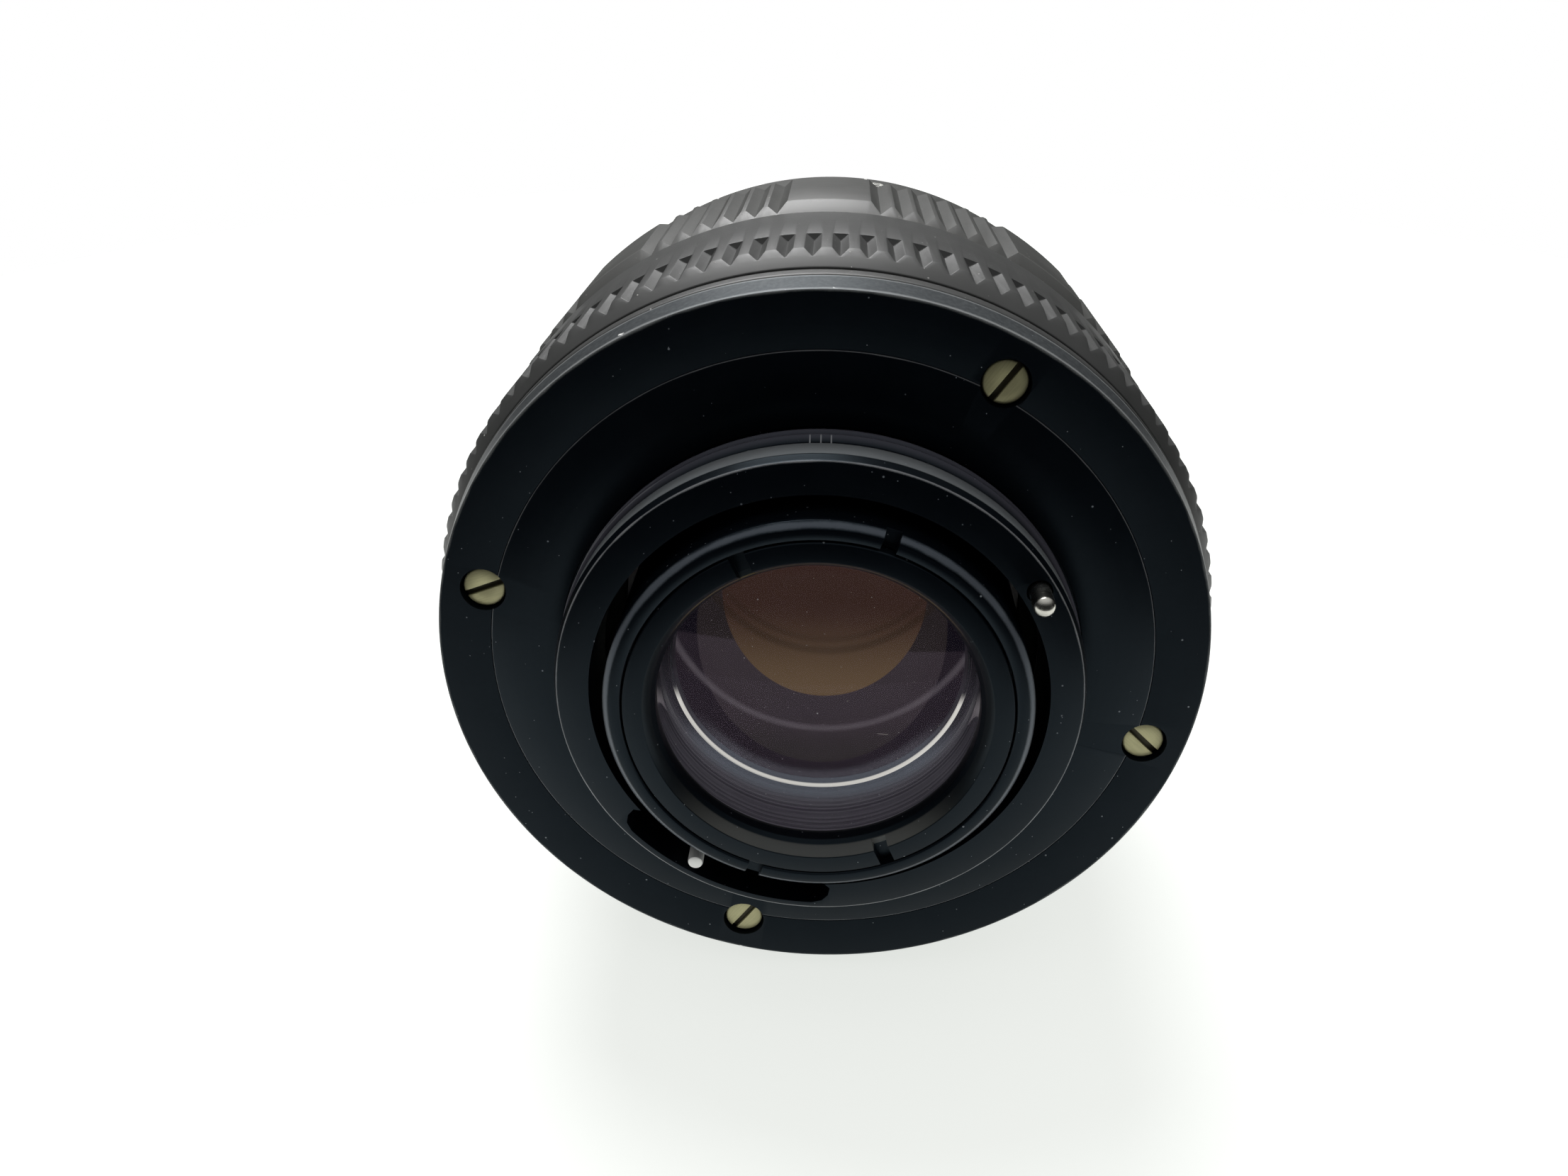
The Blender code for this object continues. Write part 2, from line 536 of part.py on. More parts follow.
# ---- helicoid ------------------------------------------------------------------------------------
def build_helicoid(surfaces):
    """Fixed helicoid barrel, its retainer, the turning brass helicoid and the two guide keys."""
    lap_radius = HOUSING_TUBE_RADIUS - HOUSING_TUBE_WALL - SEAT_GAP
    shoulder = APERTURE_RING_FRONT + SEAT_GAP
    thread_radius = HOUSING_TUBE_RADIUS - BARREL_THREAD_DEPTH
    outline = [(BARREL_INNER_RADIUS, BARREL_LAP_REAR), (lap_radius, BARREL_LAP_REAR),
               (lap_radius, shoulder), (HOUSING_TUBE_RADIUS, shoulder),
               (HOUSING_TUBE_RADIUS, RETAINER_REAR - SEAT_GAP),
               (thread_radius, RETAINER_REAR - SEAT_GAP), (thread_radius, BARREL_FRONT),
               (BARREL_INNER_RADIUS, BARREL_FRONT)]
    turned("helicoid_barrel", outline, surfaces["alloy"], OUTER_FACETS)
    ring("focus_retainer", thread_radius + SEAT_GAP, HOUSING_TUBE_RADIUS + RETAINER_RISE, RETAINER_REAR,
         BARREL_FRONT, surfaces["brass"])
    inner = BLOCK_RADIUS + RUNNING_GAP
    outer = BARREL_INNER_RADIUS - RUNNING_GAP
    outline = [(inner, HELICOID_REAR), (outer, HELICOID_REAR), (outer, HELICOID_FLANGE_REAR),
               (FOCUS_BORE_FRONT - SEAT_GAP, HELICOID_FLANGE_REAR),
               (FOCUS_BORE_FRONT - SEAT_GAP, HELICOID_FLANGE_FRONT), (inner, HELICOID_FLANGE_FRONT)]
    turned("helicoid_ring", outline, surfaces["brass"])
    key_inner = BLOCK_RADIUS - KEY_SLOT_DEPTH + RUNNING_GAP
    for number, angle in enumerate(KEY_ANGLES, start=1):
        half_turn = math.degrees(KEY_WIDTH / 2 / BLOCK_RADIUS)
        corners = sector(key_inner, BARREL_INNER_RADIUS - SEAT_GAP, angle - half_turn,
                         angle + half_turn, 1)
        prism(f"guide_key_{number}", corners, KEY_REAR + SEAT_GAP, KEY_FRONT, surfaces["brass"])


# ---- turning rings ----------------------------------------------------------------------------------
def build_aperture_ring(surfaces):
    """Aperture ring with its V notches, and the pin that drives the iris."""
    rear, front = APERTURE_RING_REAR, APERTURE_RING_FRONT
    bore = RING_BORE_RADIUS
    outline = [(bore, rear), (APERTURE_RING_REAR_RADIUS, rear),
               (APERTURE_RING_RADIUS, rear + APERTURE_CONE_LENGTH),
               (APERTURE_RING_RADIUS, front - APERTURE_EDGE), (APERTURE_RING_RADIUS - APERTURE_EDGE, front),
               (bore, front)]
    made = turned("aperture_ring", outline, surfaces["ring"], APERTURE_NOTCHES)
    floor = APERTURE_RING_RADIUS - APERTURE_NOTCH_DEPTH
    over = APERTURE_NOTCH_DEPTH + THROUGH / 2
    section = [(floor, 0.0), (floor + over, over), (floor + over, -over)]
    notches = bmesh.new()
    for number in range(APERTURE_NOTCHES):
        turn = Matrix.Rotation(2 * math.pi * (number + 0.5) / APERTURE_NOTCHES, 2)
        corners = [turn @ Vector(point) for point in section]
        add_prism(notches, corners, rear - THROUGH,
                  lambda point: APERTURE_NOTCH_END
                  - (APERTURE_RING_RADIUS - math.hypot(point.x, point.z)) / 2)
    hole = radial_cutter("drive_hole_cutter", DRIVE_PIN_RADIUS + HOLE_CLEARANCE, bore - THROUGH,
                         bore + DRIVE_PIN_HOLD + SEAT_GAP, DRIVE_PIN_ANGLE, DRIVE_PIN_Y)
    cut(made, cutter("notch_cutter", notches), hole)
    radial_rod("aperture_drive_pin", DRIVE_PIN_RADIUS, HOUSING_TUBE_RADIUS - DRIVE_PIN_REACH,
               bore + DRIVE_PIN_HOLD, DRIVE_PIN_ANGLE, DRIVE_PIN_Y, surfaces["steel"])


def build_focus_ring(surfaces):
    """Focus ring with ten lands and six ribs between each two, and its set screws."""
    rear, front = FOCUS_RING_REAR, FOCUS_RING_FRONT
    grip_front = rear + FOCUS_GRIP_LENGTH
    bevel = FOCUS_LAND_RADIUS - FOCUS_SCALE_RADIUS
    lip = FRONT_BARREL_RADIUS + RUNNING_GAP
    shoulder = RETAINER_REAR - RUNNING_GAP
    outline = [(RING_BORE_RADIUS, rear), (FOCUS_NECK_RADIUS, rear),
               (FOCUS_LAND_RADIUS, rear + FOCUS_CONE_LENGTH), (FOCUS_LAND_RADIUS, grip_front - bevel),
               (FOCUS_SCALE_RADIUS, grip_front), (FOCUS_SCALE_RADIUS, front - FOCUS_EDGE),
               (FOCUS_SCALE_RADIUS - FOCUS_EDGE, front), (lip, front), (lip, front - FOCUS_LIP_THICKNESS),
               (FOCUS_BORE_FRONT, front - FOCUS_LIP_THICKNESS), (FOCUS_BORE_FRONT, shoulder),
               (RING_BORE_RADIUS, shoulder)]
    made = turned("focus_ring", outline, surfaces["ring"], FOCUS_FACETS)
    floor = FOCUS_LAND_RADIUS - FOCUS_GROOVE_DEPTH
    pitch = math.radians(FOCUS_RIB_PITCH)
    over = FOCUS_LAND_RADIUS + THROUGH / 2
    half_floor = FOCUS_GROOVE_FLOOR_SHARE / 2 * pitch * floor
    half_top = FOCUS_GROOVE_TOP_SHARE / 2 * pitch * over
    section = [(floor, half_floor), (over, half_top), (over, -half_top), (floor, -half_floor)]
    grooves = bmesh.new()
    for land in range(FOCUS_LANDS):
        middle = math.radians(FOCUS_LAND_ANGLE) + 2 * math.pi * (land + 0.5) / FOCUS_LANDS
        for groove in range(FOCUS_RIBS + 1):
            turn = Matrix.Rotation(middle + (groove - FOCUS_RIBS / 2) * pitch, 2)
            corners = [turn @ Vector(point) for point in section]
            add_prism(grooves, corners, rear - THROUGH, lambda point: grip_front + THROUGH)
    screws = []
    screw_y = HELICOID_FLANGE_FRONT + SEAT_GAP
    for number in range(SET_SCREW_COUNT):
        angle = SET_SCREW_ANGLE + 360.0 * number / SET_SCREW_COUNT
        screws.append(radial_cutter(f"focus_screw_hole_{number + 1}", SET_SCREW_RADIUS + HOLE_CLEARANCE,
                                    FOCUS_BORE_FRONT - THROUGH, FOCUS_SCALE_RADIUS + THROUGH, angle,
                                    screw_y))
        radial_rod(f"focus_set_screw_{number + 1}", SET_SCREW_RADIUS, FOCUS_BORE_FRONT + SEAT_GAP / 4,
                   FOCUS_SCALE_RADIUS - SET_SCREW_SINK, angle, screw_y, surfaces["steel"])
    cut(made, cutter("groove_cutter", grooves), *screws)


# ---- lens block --------------------------------------------------------------------------------------
def build_block(surfaces):
    """Sliding lens barrel, front barrel, cells and rings."""
    outline = [(BLOCK_BORE_RADIUS, BLOCK_REAR), (BLOCK_RADIUS, BLOCK_REAR),
               (BLOCK_RADIUS, BLOCK_FRONT), (BLOCK_BORE_RADIUS, BLOCK_FRONT),
               (BLOCK_BORE_RADIUS, IRIS_REAR), (WEB_BORE_RADIUS, IRIS_REAR), (WEB_BORE_RADIUS, WEB_REAR),
               (BLOCK_BORE_RADIUS, WEB_REAR)]
    barrel = turned("lens_barrel", outline, surfaces["alloy"])
    slots = bmesh.new()
    half_turn = math.degrees((KEY_WIDTH / 2 + KEY_SLOT_CLEARANCE) / BLOCK_RADIUS)
    for angle in KEY_ANGLES:
        corners = sector(BLOCK_RADIUS - KEY_SLOT_DEPTH, BLOCK_RADIUS + THROUGH, angle - half_turn,
                         angle + half_turn, 1)
        add_prism(slots, corners, BLOCK_REAR - THROUGH, lambda point: KEY_FRONT + THROUGH)
    cut(barrel, cutter("key_slot_cutter", slots))
    front, rear, edge = FRONT_BARREL_FRONT, FRONT_BARREL_REAR, FRONT_BARREL_EDGE
    seat = front - FILTER_DEPTH
    outline = [(FRONT_BARREL_BORE, rear), (FRONT_BARREL_RADIUS, rear),
               (FRONT_BARREL_RADIUS, front - edge), (FRONT_BARREL_RADIUS - edge, front),
               (FILTER_THREAD_RADIUS + edge, front), (FILTER_THREAD_RADIUS, front - edge),
               (FILTER_THREAD_RADIUS, seat), (FRONT_BARREL_BORE, seat)]
    turned("front_barrel", outline, surfaces["ring"], OUTER_FACETS)
    build_rear_cell(surfaces)
    build_front_group(surfaces)


def build_rear_cell(surfaces):
    """Rear cell with its spanner notches, and the ring that holds the rear element."""
    end = -REAR_CELL_END
    lens_seat = LENS_6_RADIUS + SEAT_RELIEF
    inner_seat = LENS_4_RADIUS + SEAT_RELIEF
    thread = RETAINING_RING_RADIUS + SEAM_GAP
    ring_front = end + RETAINING_RING_LENGTH
    flange_front = WEB_REAR - SEAT_GAP
    cell_front = IRIS_REAR - SEAT_GAP / 2
    step = IRIS_REAR + LENS_5_REAR_RIM - SEAT_GAP / 2
    lip = IRIS_REAR + LENS_4_FRONT_RIM
    outline = [(thread, end), (REAR_CELL_RADIUS - REAR_CELL_CHAMFER, end),
               (REAR_CELL_RADIUS, end + REAR_CELL_CHAMFER), (REAR_CELL_RADIUS, flange_front),
               (WEB_BORE_RADIUS - SEAT_GAP, flange_front), (WEB_BORE_RADIUS - SEAT_GAP, cell_front),
               (LENS_4_RADIUS - INNER_LEDGE, cell_front), (LENS_4_RADIUS - INNER_LEDGE, lip),
               (inner_seat, lip), (inner_seat, step), (lens_seat, step),
               (lens_seat, ring_front + SEAT_GAP / 2), (thread, ring_front + SEAT_GAP / 2)]
    cell = turned("rear_cell", outline, surfaces["flange"], OUTER_FACETS)
    cut(cell, *end_notches("cell_notch", REAR_CELL_RADIUS, thread, CELL_NOTCH_ANGLE))
    bore = RETAINING_RING_BORE
    outline = [(bore, end), (RETAINING_RING_RADIUS, end), (RETAINING_RING_RADIUS, ring_front),
               (LENS_6_RADIUS - LENS_LEDGE, ring_front),
               (LENS_6_RADIUS - LENS_LEDGE, end + RETAINING_BEVEL_HEEL),
               (bore - RETAINING_BEVEL_WIDTH, end + RETAINING_BEVEL_DEPTH)]
    holder = turned("rear_retaining_ring", outline, surfaces["flange"], OUTER_FACETS)
    cut(holder, *end_notches("retaining_notch", RETAINING_RING_RADIUS,
                             bore - RETAINING_BEVEL_WIDTH, RETAINING_NOTCH_ANGLE))


def end_notches(name, outer, inner, angle):
    """Two opposite spanner notches in the rear face of a ring."""
    middle = (outer + inner) / 2
    tools = []
    for side, turn in (("a", 0.0), ("b", 180.0)):
        place = polar(middle, angle + turn)
        tools.append(bar_cutter(f"{name}_{side}_cutter", outer - inner + THROUGH, CELL_NOTCH_WIDTH,
                                -REAR_CELL_END - THROUGH, -REAR_CELL_END + CELL_NOTCH_DEPTH,
                                angle, (place.x, place.z)))
    return tools


def build_front_group(surfaces):
    """Front cell, its spacer and the front ring round the front element."""
    outer = BLOCK_BORE_RADIUS - SEAT_GAP
    front_seat = LENS_1_RADIUS + SEAT_GAP
    inner_seat = LENS_2_RADIUS + SEAT_RELIEF
    ledge = LENS_2_RADIUS - FRONT_LEDGE
    step_1 = BLOCK_FRONT + LENS_1_SEAT
    step_2 = FRONT_CELL_REAR + FRONT_CELL_LEDGE
    outline = [(ledge, FRONT_CELL_REAR), (outer, FRONT_CELL_REAR), (outer, BLOCK_FRONT),
               (front_seat, BLOCK_FRONT), (front_seat, step_1), (inner_seat, step_1),
               (inner_seat, step_2), (ledge, step_2)]
    turned("front_cell", outline, surfaces["alloy"])
    ring("front_retaining_ring", LENS_1_RADIUS - FRONT_RING_WIDTH, LENS_1_RADIUS,
         BLOCK_FRONT + LENS_1_FRONT_RIM + RUNNING_GAP, BLOCK_FRONT, surfaces["flange"])
    rear = FRONT_BARREL_REAR + NAME_RING_OFFSET
    outer = FRONT_BARREL_BORE - SEAT_GAP
    front = rear + NAME_RING_DEPTH
    outline = [(LENS_1_RADIUS - NAME_RING_LIP, rear), (outer, rear), (outer, front),
               (outer - NAME_RING_LIP, front)]
    turned("front_name_ring", outline, surfaces["flange"], OUTER_FACETS)


def build_glass(surfaces):
    """The six elements of the four lens groups, from the rear to the front."""
    surface = surfaces["glass"]
    glass("lens_6_rear", LENS_6_RADIUS, IRIS_REAR, (-20.5, -19.0), (-14.3, -15.8), surface)
    glass("lens_5", LENS_4_RADIUS, IRIS_REAR, (-14.0, LENS_5_REAR_RIM + SEAT_GAP), (-7.4, -10.0), surface)
    glass("lens_4", LENS_4_RADIUS, IRIS_REAR, (-7.2, -9.8), (-5.7, LENS_4_FRONT_RIM - SEAT_GAP), surface)
    glass("lens_3", LENS_2_RADIUS, BLOCK_FRONT, (-14.1, -16.2), (-12.8, -13.8), surface)
    glass("lens_2", LENS_2_RADIUS, BLOCK_FRONT, (-12.6, -13.6), (-7.8, -10.2), surface)
    glass("lens_1_front", LENS_1_RADIUS, BLOCK_FRONT, (-6.2, -7.6), (-0.2, LENS_1_FRONT_RIM), surface)


# ---- iris ------------------------------------------------------------------------------------------------
def blade_outline():
    """Outline of a blade in (x, z), with its pivot at the origin and the axis at -X."""
    inner = arc(BLADE_INNER_RADIUS, -8.0, 100.0, 9)
    outer = arc(BLADE_MIDDLE_RADIUS, 96.0, 32.0, 6)
    heel = arc(BLADE_HEEL_RADIUS, 9.0, -8.0, 3)
    return [(x - BLADE_PIVOT_RADIUS, z) for x, z in inner + outer + heel]


def build_iris(surfaces):
    """Blades on their own levels, the ring that turns them and its cover."""
    outline = blade_outline()
    pivot = arc(BLADE_STUD_RADIUS, 0.0, 330.0, 11)
    for number in range(BLADE_COUNT):
        angle = 360.0 * number / BLADE_COUNT
        level = BLADE_REAR + number * BLADE_LEVEL
        shape = bmesh.new()
        add_prism(shape, outline, 0.0, lambda point: BLADE_THICKNESS)
        name = f"iris_blade_{number + 1}"
        place = polar(BLADE_PIVOT_RADIUS, angle, level)
        blade = finish(name, shape, surfaces["blade"], place)
        blade.rotation_euler = (0.0, -math.radians(angle), 0.0)
        stud = bmesh.new()
        corners = [(x + place.x, z + place.z) for x, z in pivot]
        add_prism(stud, corners, IRIS_REAR + STUD_FLOOR, lambda point: level + 0.5 * BLADE_THICKNESS)
        union = blade.modifiers.new("pivot_stud", 'BOOLEAN')
        union.operation = 'UNION'
        union.solver = 'EXACT'
        union.object = cutter(f"{name}_stud", stud)
    chamber = BLOCK_BORE_RADIUS - RUNNING_GAP
    cam = ring("iris_cam_ring", BLADE_MIDDLE_RADIUS + 2 * RUNNING_GAP, chamber, IRIS_CAM_REAR,
               IRIS_CAM_REAR + IRIS_CAM_THICKNESS, surfaces["brass"])
    slots = bmesh.new()
    for number in range(BLADE_COUNT):
        start = 360.0 * number / BLADE_COUNT
        add_prism(slots, sector(*CAM_SLOT_RADII, start, start + CAM_SLOT_TURN, 3),
                  IRIS_CAM_REAR - THROUGH, lambda point: IRIS_COVER_REAR + THROUGH)
    cut(cam, cutter("cam_slot_cutter", slots))
    ring("iris_cover", BLADE_INNER_RADIUS + IRIS_COVER_LIP, BLOCK_BORE_RADIUS - SEAT_GAP, IRIS_COVER_REAR,
         IRIS_COVER_REAR + IRIS_COVER_THICKNESS, surfaces["flange"])


# ---- automatic diaphragm linkage ----------------------------------------------------------------------------
def build_linkage(surfaces):
    """Stop-down pin with its spring, the lever it turns and the plate that carries them."""
    tip = -MOUNT_HEIGHT - PIN_PROTRUSION
    collar = PLATE_THICKNESS + RUNNING_GAP
    neck = PIN_RADIUS * PIN_NECK_SHARE
    dome = [(PIN_RADIUS * math.sin(turn), tip + PIN_RADIUS * PIN_DOME_HEIGHT * (1 - math.cos(turn)))
            for turn in (math.pi / 2 * step / 4 for step in range(5))]
    outline = dome + [(PIN_RADIUS, collar), (PIN_COLLAR_RADIUS, collar),
                      (PIN_COLLAR_RADIUS, collar + PIN_COLLAR_THICKNESS),
                      (neck, collar + PIN_COLLAR_THICKNESS), (neck, PIN_INNER_END),
                      (0.0, PIN_INNER_END)]
    turned("stopdown_pin", outline, surfaces["steel"], facets=20,
           location=polar(PIN_RING_RADIUS, PIN_ANGLE))
    build_spring(surfaces, collar + PIN_COLLAR_THICKNESS + SPRING_END_GAP,
                 MECHANISM_PLATE_REAR - SPRING_END_GAP)
    prism("diaphragm_lever", sector(*LEVER_RADII, *LEVER_ANGLES, 24), LEVER_REAR,
          LEVER_REAR + LEVER_THICKNESS, surfaces["steel"])
    post = polar(LINK_POST_RING_RADIUS, LINK_POST_ANGLE)
    heel = LEVER_REAR - SEAT_GAP / 2
    outline = [(0.0, -LINK_POST_END), (LINK_POST_RADIUS - LINK_POST_EDGE, -LINK_POST_END),
               (LINK_POST_RADIUS, LINK_POST_EDGE - LINK_POST_END), (LINK_POST_RADIUS, heel),
               (0.0, heel)]
    turned("diaphragm_lever_post", outline, surfaces["steel"], facets=16, location=post)
    ring("mechanism_plate", REAR_CELL_RADIUS + 1.0, BLOCK_BORE_RADIUS - RUNNING_GAP,
         MECHANISM_PLATE_REAR, MECHANISM_PLATE_REAR + MECHANISM_PLATE_THICKNESS, surfaces["brass"])
    for number, angle in enumerate(STANDOFF_ANGLES, start=1):
        outline = [(0.0, PLATE_SEAT), (STANDOFF_RADIUS, PLATE_SEAT),
                   (STANDOFF_RADIUS, MECHANISM_PLATE_REAR - SEAT_GAP),
                   (0.0, MECHANISM_PLATE_REAR - SEAT_GAP)]
        turned(f"mechanism_standoff_{number}", outline, surfaces["brass"], facets=12,
               location=polar(STANDOFF_RING_RADIUS, angle))


def build_spring(surfaces, rear, front):
    """Coil spring round the inner end of the stop-down pin."""
    steps = 8
    path = bpy.data.curves.new("pin_spring_path", 'CURVE')
    path.dimensions = '3D'
    path.bevel_depth = SPRING_WIRE_RADIUS * MM
    path.bevel_resolution = 0
    path.use_fill_caps = True
    count = SPRING_TURNS * steps
    line = path.splines.new('POLY')
    line.points.add(count)
    centre = polar(PIN_RING_RADIUS, PIN_ANGLE)
    for step, point in enumerate(line.points):
        turn = 2 * math.pi * step / steps
        y = rear + (front - rear) * step / count
        place = Vector((centre.x + SPRING_RADIUS * math.cos(turn), y,
                        centre.z + SPRING_RADIUS * math.sin(turn)))
        point.co = (*(place * MM), 1.0)
    path.materials.append(surfaces["steel"])
    spring = bpy.data.objects.new("pin_spring", path)
    bpy.context.scene.collection.objects.link(spring)


def main():
    """Build the whole lens."""
    for old in list(bpy.data.objects):
        bpy.data.objects.remove(old, do_unlink=True)
    surfaces = make_materials()
    recesses, shank_holes = build_mount(surfaces)
    build_housing(surfaces, recesses, shank_holes)
    build_detent(surfaces)
    build_helicoid(surfaces)
    build_aperture_ring(surfaces)
    build_focus_ring(surfaces)
    build_block(surfaces)
    build_glass(surfaces)
    build_iris(surfaces)
    build_linkage(surfaces)


main()
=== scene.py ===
"""Looks of a 42 mm screw-mount lens that lies on its side with its rear end to the viewer.

The optical axis is Y: the threaded mount faces -Y and the filter thread faces +Y.  Sizes in the
classes are millimetres and angles are degrees round the axis, seen from the rear, from +X
towards +Z.  Every turned piece is drawn as a section, spun round the axis and then cut.
"""
import logging
import math
from collections.abc import Callable
from dataclasses import dataclass
from enum import Enum

import bmesh
import bpy
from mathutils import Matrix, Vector


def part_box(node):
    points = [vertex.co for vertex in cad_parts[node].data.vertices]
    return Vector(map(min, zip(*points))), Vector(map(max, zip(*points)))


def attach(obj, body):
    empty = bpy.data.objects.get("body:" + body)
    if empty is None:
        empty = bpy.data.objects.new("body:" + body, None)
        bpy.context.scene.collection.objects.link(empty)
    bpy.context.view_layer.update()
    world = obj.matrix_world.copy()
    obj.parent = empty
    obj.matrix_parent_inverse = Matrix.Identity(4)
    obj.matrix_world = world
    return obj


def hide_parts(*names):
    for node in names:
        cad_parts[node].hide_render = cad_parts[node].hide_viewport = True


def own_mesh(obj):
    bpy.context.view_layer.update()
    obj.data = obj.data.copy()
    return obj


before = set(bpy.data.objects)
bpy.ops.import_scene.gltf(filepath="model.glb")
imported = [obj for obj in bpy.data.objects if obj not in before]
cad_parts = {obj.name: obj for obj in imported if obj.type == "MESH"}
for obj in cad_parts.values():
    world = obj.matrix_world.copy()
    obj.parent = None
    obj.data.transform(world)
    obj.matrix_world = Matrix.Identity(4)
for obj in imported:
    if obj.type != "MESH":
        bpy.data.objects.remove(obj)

LOG = logging.getLogger("lens")
Points = list[tuple[float, float]]
Colour = tuple[float, float, float]
MM = 0.001
TURN = 2 * math.pi
INDEX_ANGLE = 213.0
COLD: Colour = (0.6, 0.82, 1.0)
WHITE: Colour = (1.0, 1.0, 1.0)
BLACK: Colour = (0.0, 0.0, 0.0)


class Body(str, Enum):
    """Moving bodies of the lens."""

    HOUSING = "housing"
    APERTURE = "aperture_control"
    FOCUS = "focus_control"
    BLOCK = "lens_block"
    PIN = "stopdown"
    LINKAGE = "diaphragm_linkage"


class Slot(str, Enum):
    """Material slots of the record."""

    PAINT = "black_satin_paint"
    ANODISED = "black_anodised"
    WORN = "worn_black_metal"
    SCREW = "nickel_brass"
    STEEL = "polished_steel"
    BLADE = "blued_blade"
    GLASS = "coated_glass"


# ---- shader maths ---------------------------------------------------------------------------
class Signal:
    """An output socket whose arithmetic adds Math nodes."""

    def __init__(self, graph: "Graph", socket: bpy.types.NodeSocket) -> None:
        """Keep the socket and the graph it belongs to."""
        self.graph = graph
        self.socket = socket

    def math(self, operation: str, *others: "Signal | float", swap: bool = False) -> "Signal":
        """Add one Math node.

        Args:
            operation: Name of the node's operation.
            others: The other operands.
            swap: Put the first other operand before this one.

        Returns:
            The node's value.
        """
        values = (others[0], self) if swap else (self, *others)
        return self.graph.node("ShaderNodeMath", {"operation": operation}, dict(enumerate(values)))

    def __add__(self, other: "Signal | float") -> "Signal":
        """Sum."""
        return self.math("ADD", other)

    def __radd__(self, other: float) -> "Signal":
        """Sum with the number first."""
        return self.math("ADD", other)

    def __sub__(self, other: "Signal | float") -> "Signal":
        """Difference."""
        return self.math("SUBTRACT", other)

    def __rsub__(self, other: float) -> "Signal":
        """Difference with the number first."""
        return self.math("SUBTRACT", other, swap=True)

    def __mul__(self, other: "Signal | float") -> "Signal":
        """Product."""
        return self.math("MULTIPLY", other)

    def __rmul__(self, other: float) -> "Signal":
        """Product with the number first."""
        return self.math("MULTIPLY", other)

    def __truediv__(self, other: "Signal | float") -> "Signal":
        """Quotient."""
        return self.math("DIVIDE", other)

    def __rtruediv__(self, other: float) -> "Signal":
        """Quotient with the number first."""
        return self.math("DIVIDE", other, swap=True)

    def sibling(self, output: int | str) -> "Signal":
        """Another output of the same node."""
        return Signal(self.graph, self.socket.node.outputs[output])

    def limit(self) -> "Signal":
        """The value, held to 1 at most."""
        return self.math("MINIMUM", 1.0)

    def smooth(self, low: float, high: float, start: float = 0.0, end: float = 1.0) -> "Signal":
        """Smooth step from start at low to end at high."""
        return self.graph.node("ShaderNodeMapRange", {"interpolation_type": "SMOOTHSTEP"},
                               {0: self, 1: low, 2: high, 3: start, 4: end})

    def band(self, centre: float, half: float, soft: float) -> "Signal":
        """1 within half of centre, and 0 beyond half + soft."""
        return (self - centre).math("ABSOLUTE").smooth(half, half + soft, 1.0, 0.0)


class Graph:
    """A node tree, every node of which comes from one method."""

    def __init__(self, tree: bpy.types.NodeTree) -> None:
        """Keep the tree."""
        self.tree = tree

    def node(self, kind: str, settings: dict | None = None, inputs: dict | None = None,
             output: int | str = 0) -> Signal:
        """Add a node.

        Args:
            kind: Blender's name for the node type.
            settings: Properties to set first; "ramp" gives a colour ramp's stops.
            inputs: Values or signals, by socket name or number.
            output: Which output to return.

        Returns:
            The chosen output.
        """
        made = self.tree.nodes.new(kind)
        for key, value in (settings or {}).items():
            if key == "ramp":
                for stop, (place, tone) in enumerate(value):
                    ramp = made.color_ramp.elements
                    element = ramp[stop] if stop < 2 else ramp.new(place)
                    element.position = place
                    element.color = (*tone, 1.0)
            else:
                setattr(made, key, value)
        for key, value in (inputs or {}).items():
            self.feed(made.inputs[key], value)
        return Signal(self, made.outputs[output])

    def feed(self, socket: bpy.types.NodeSocket, value: "Signal | float | Colour") -> None:
        """Link a signal to a socket, or set the socket's own value.

        Args:
            socket: The input.
            value: What it gets.
        """
        if isinstance(value, Signal):
            self.tree.links.new(value.socket, socket)
        elif isinstance(value, tuple) and socket.type == "RGBA":
            socket.default_value = (*value, 1.0)
        else:
            socket.default_value = value

    def mix(self, share: "Signal | float", first: "Signal | Colour",
            second: "Signal | Colour") -> Signal:
        """Blend two colours."""
        return self.node("ShaderNodeMix", {"data_type": "RGBA"}, {0: share, 6: first, 7: second}, 2)


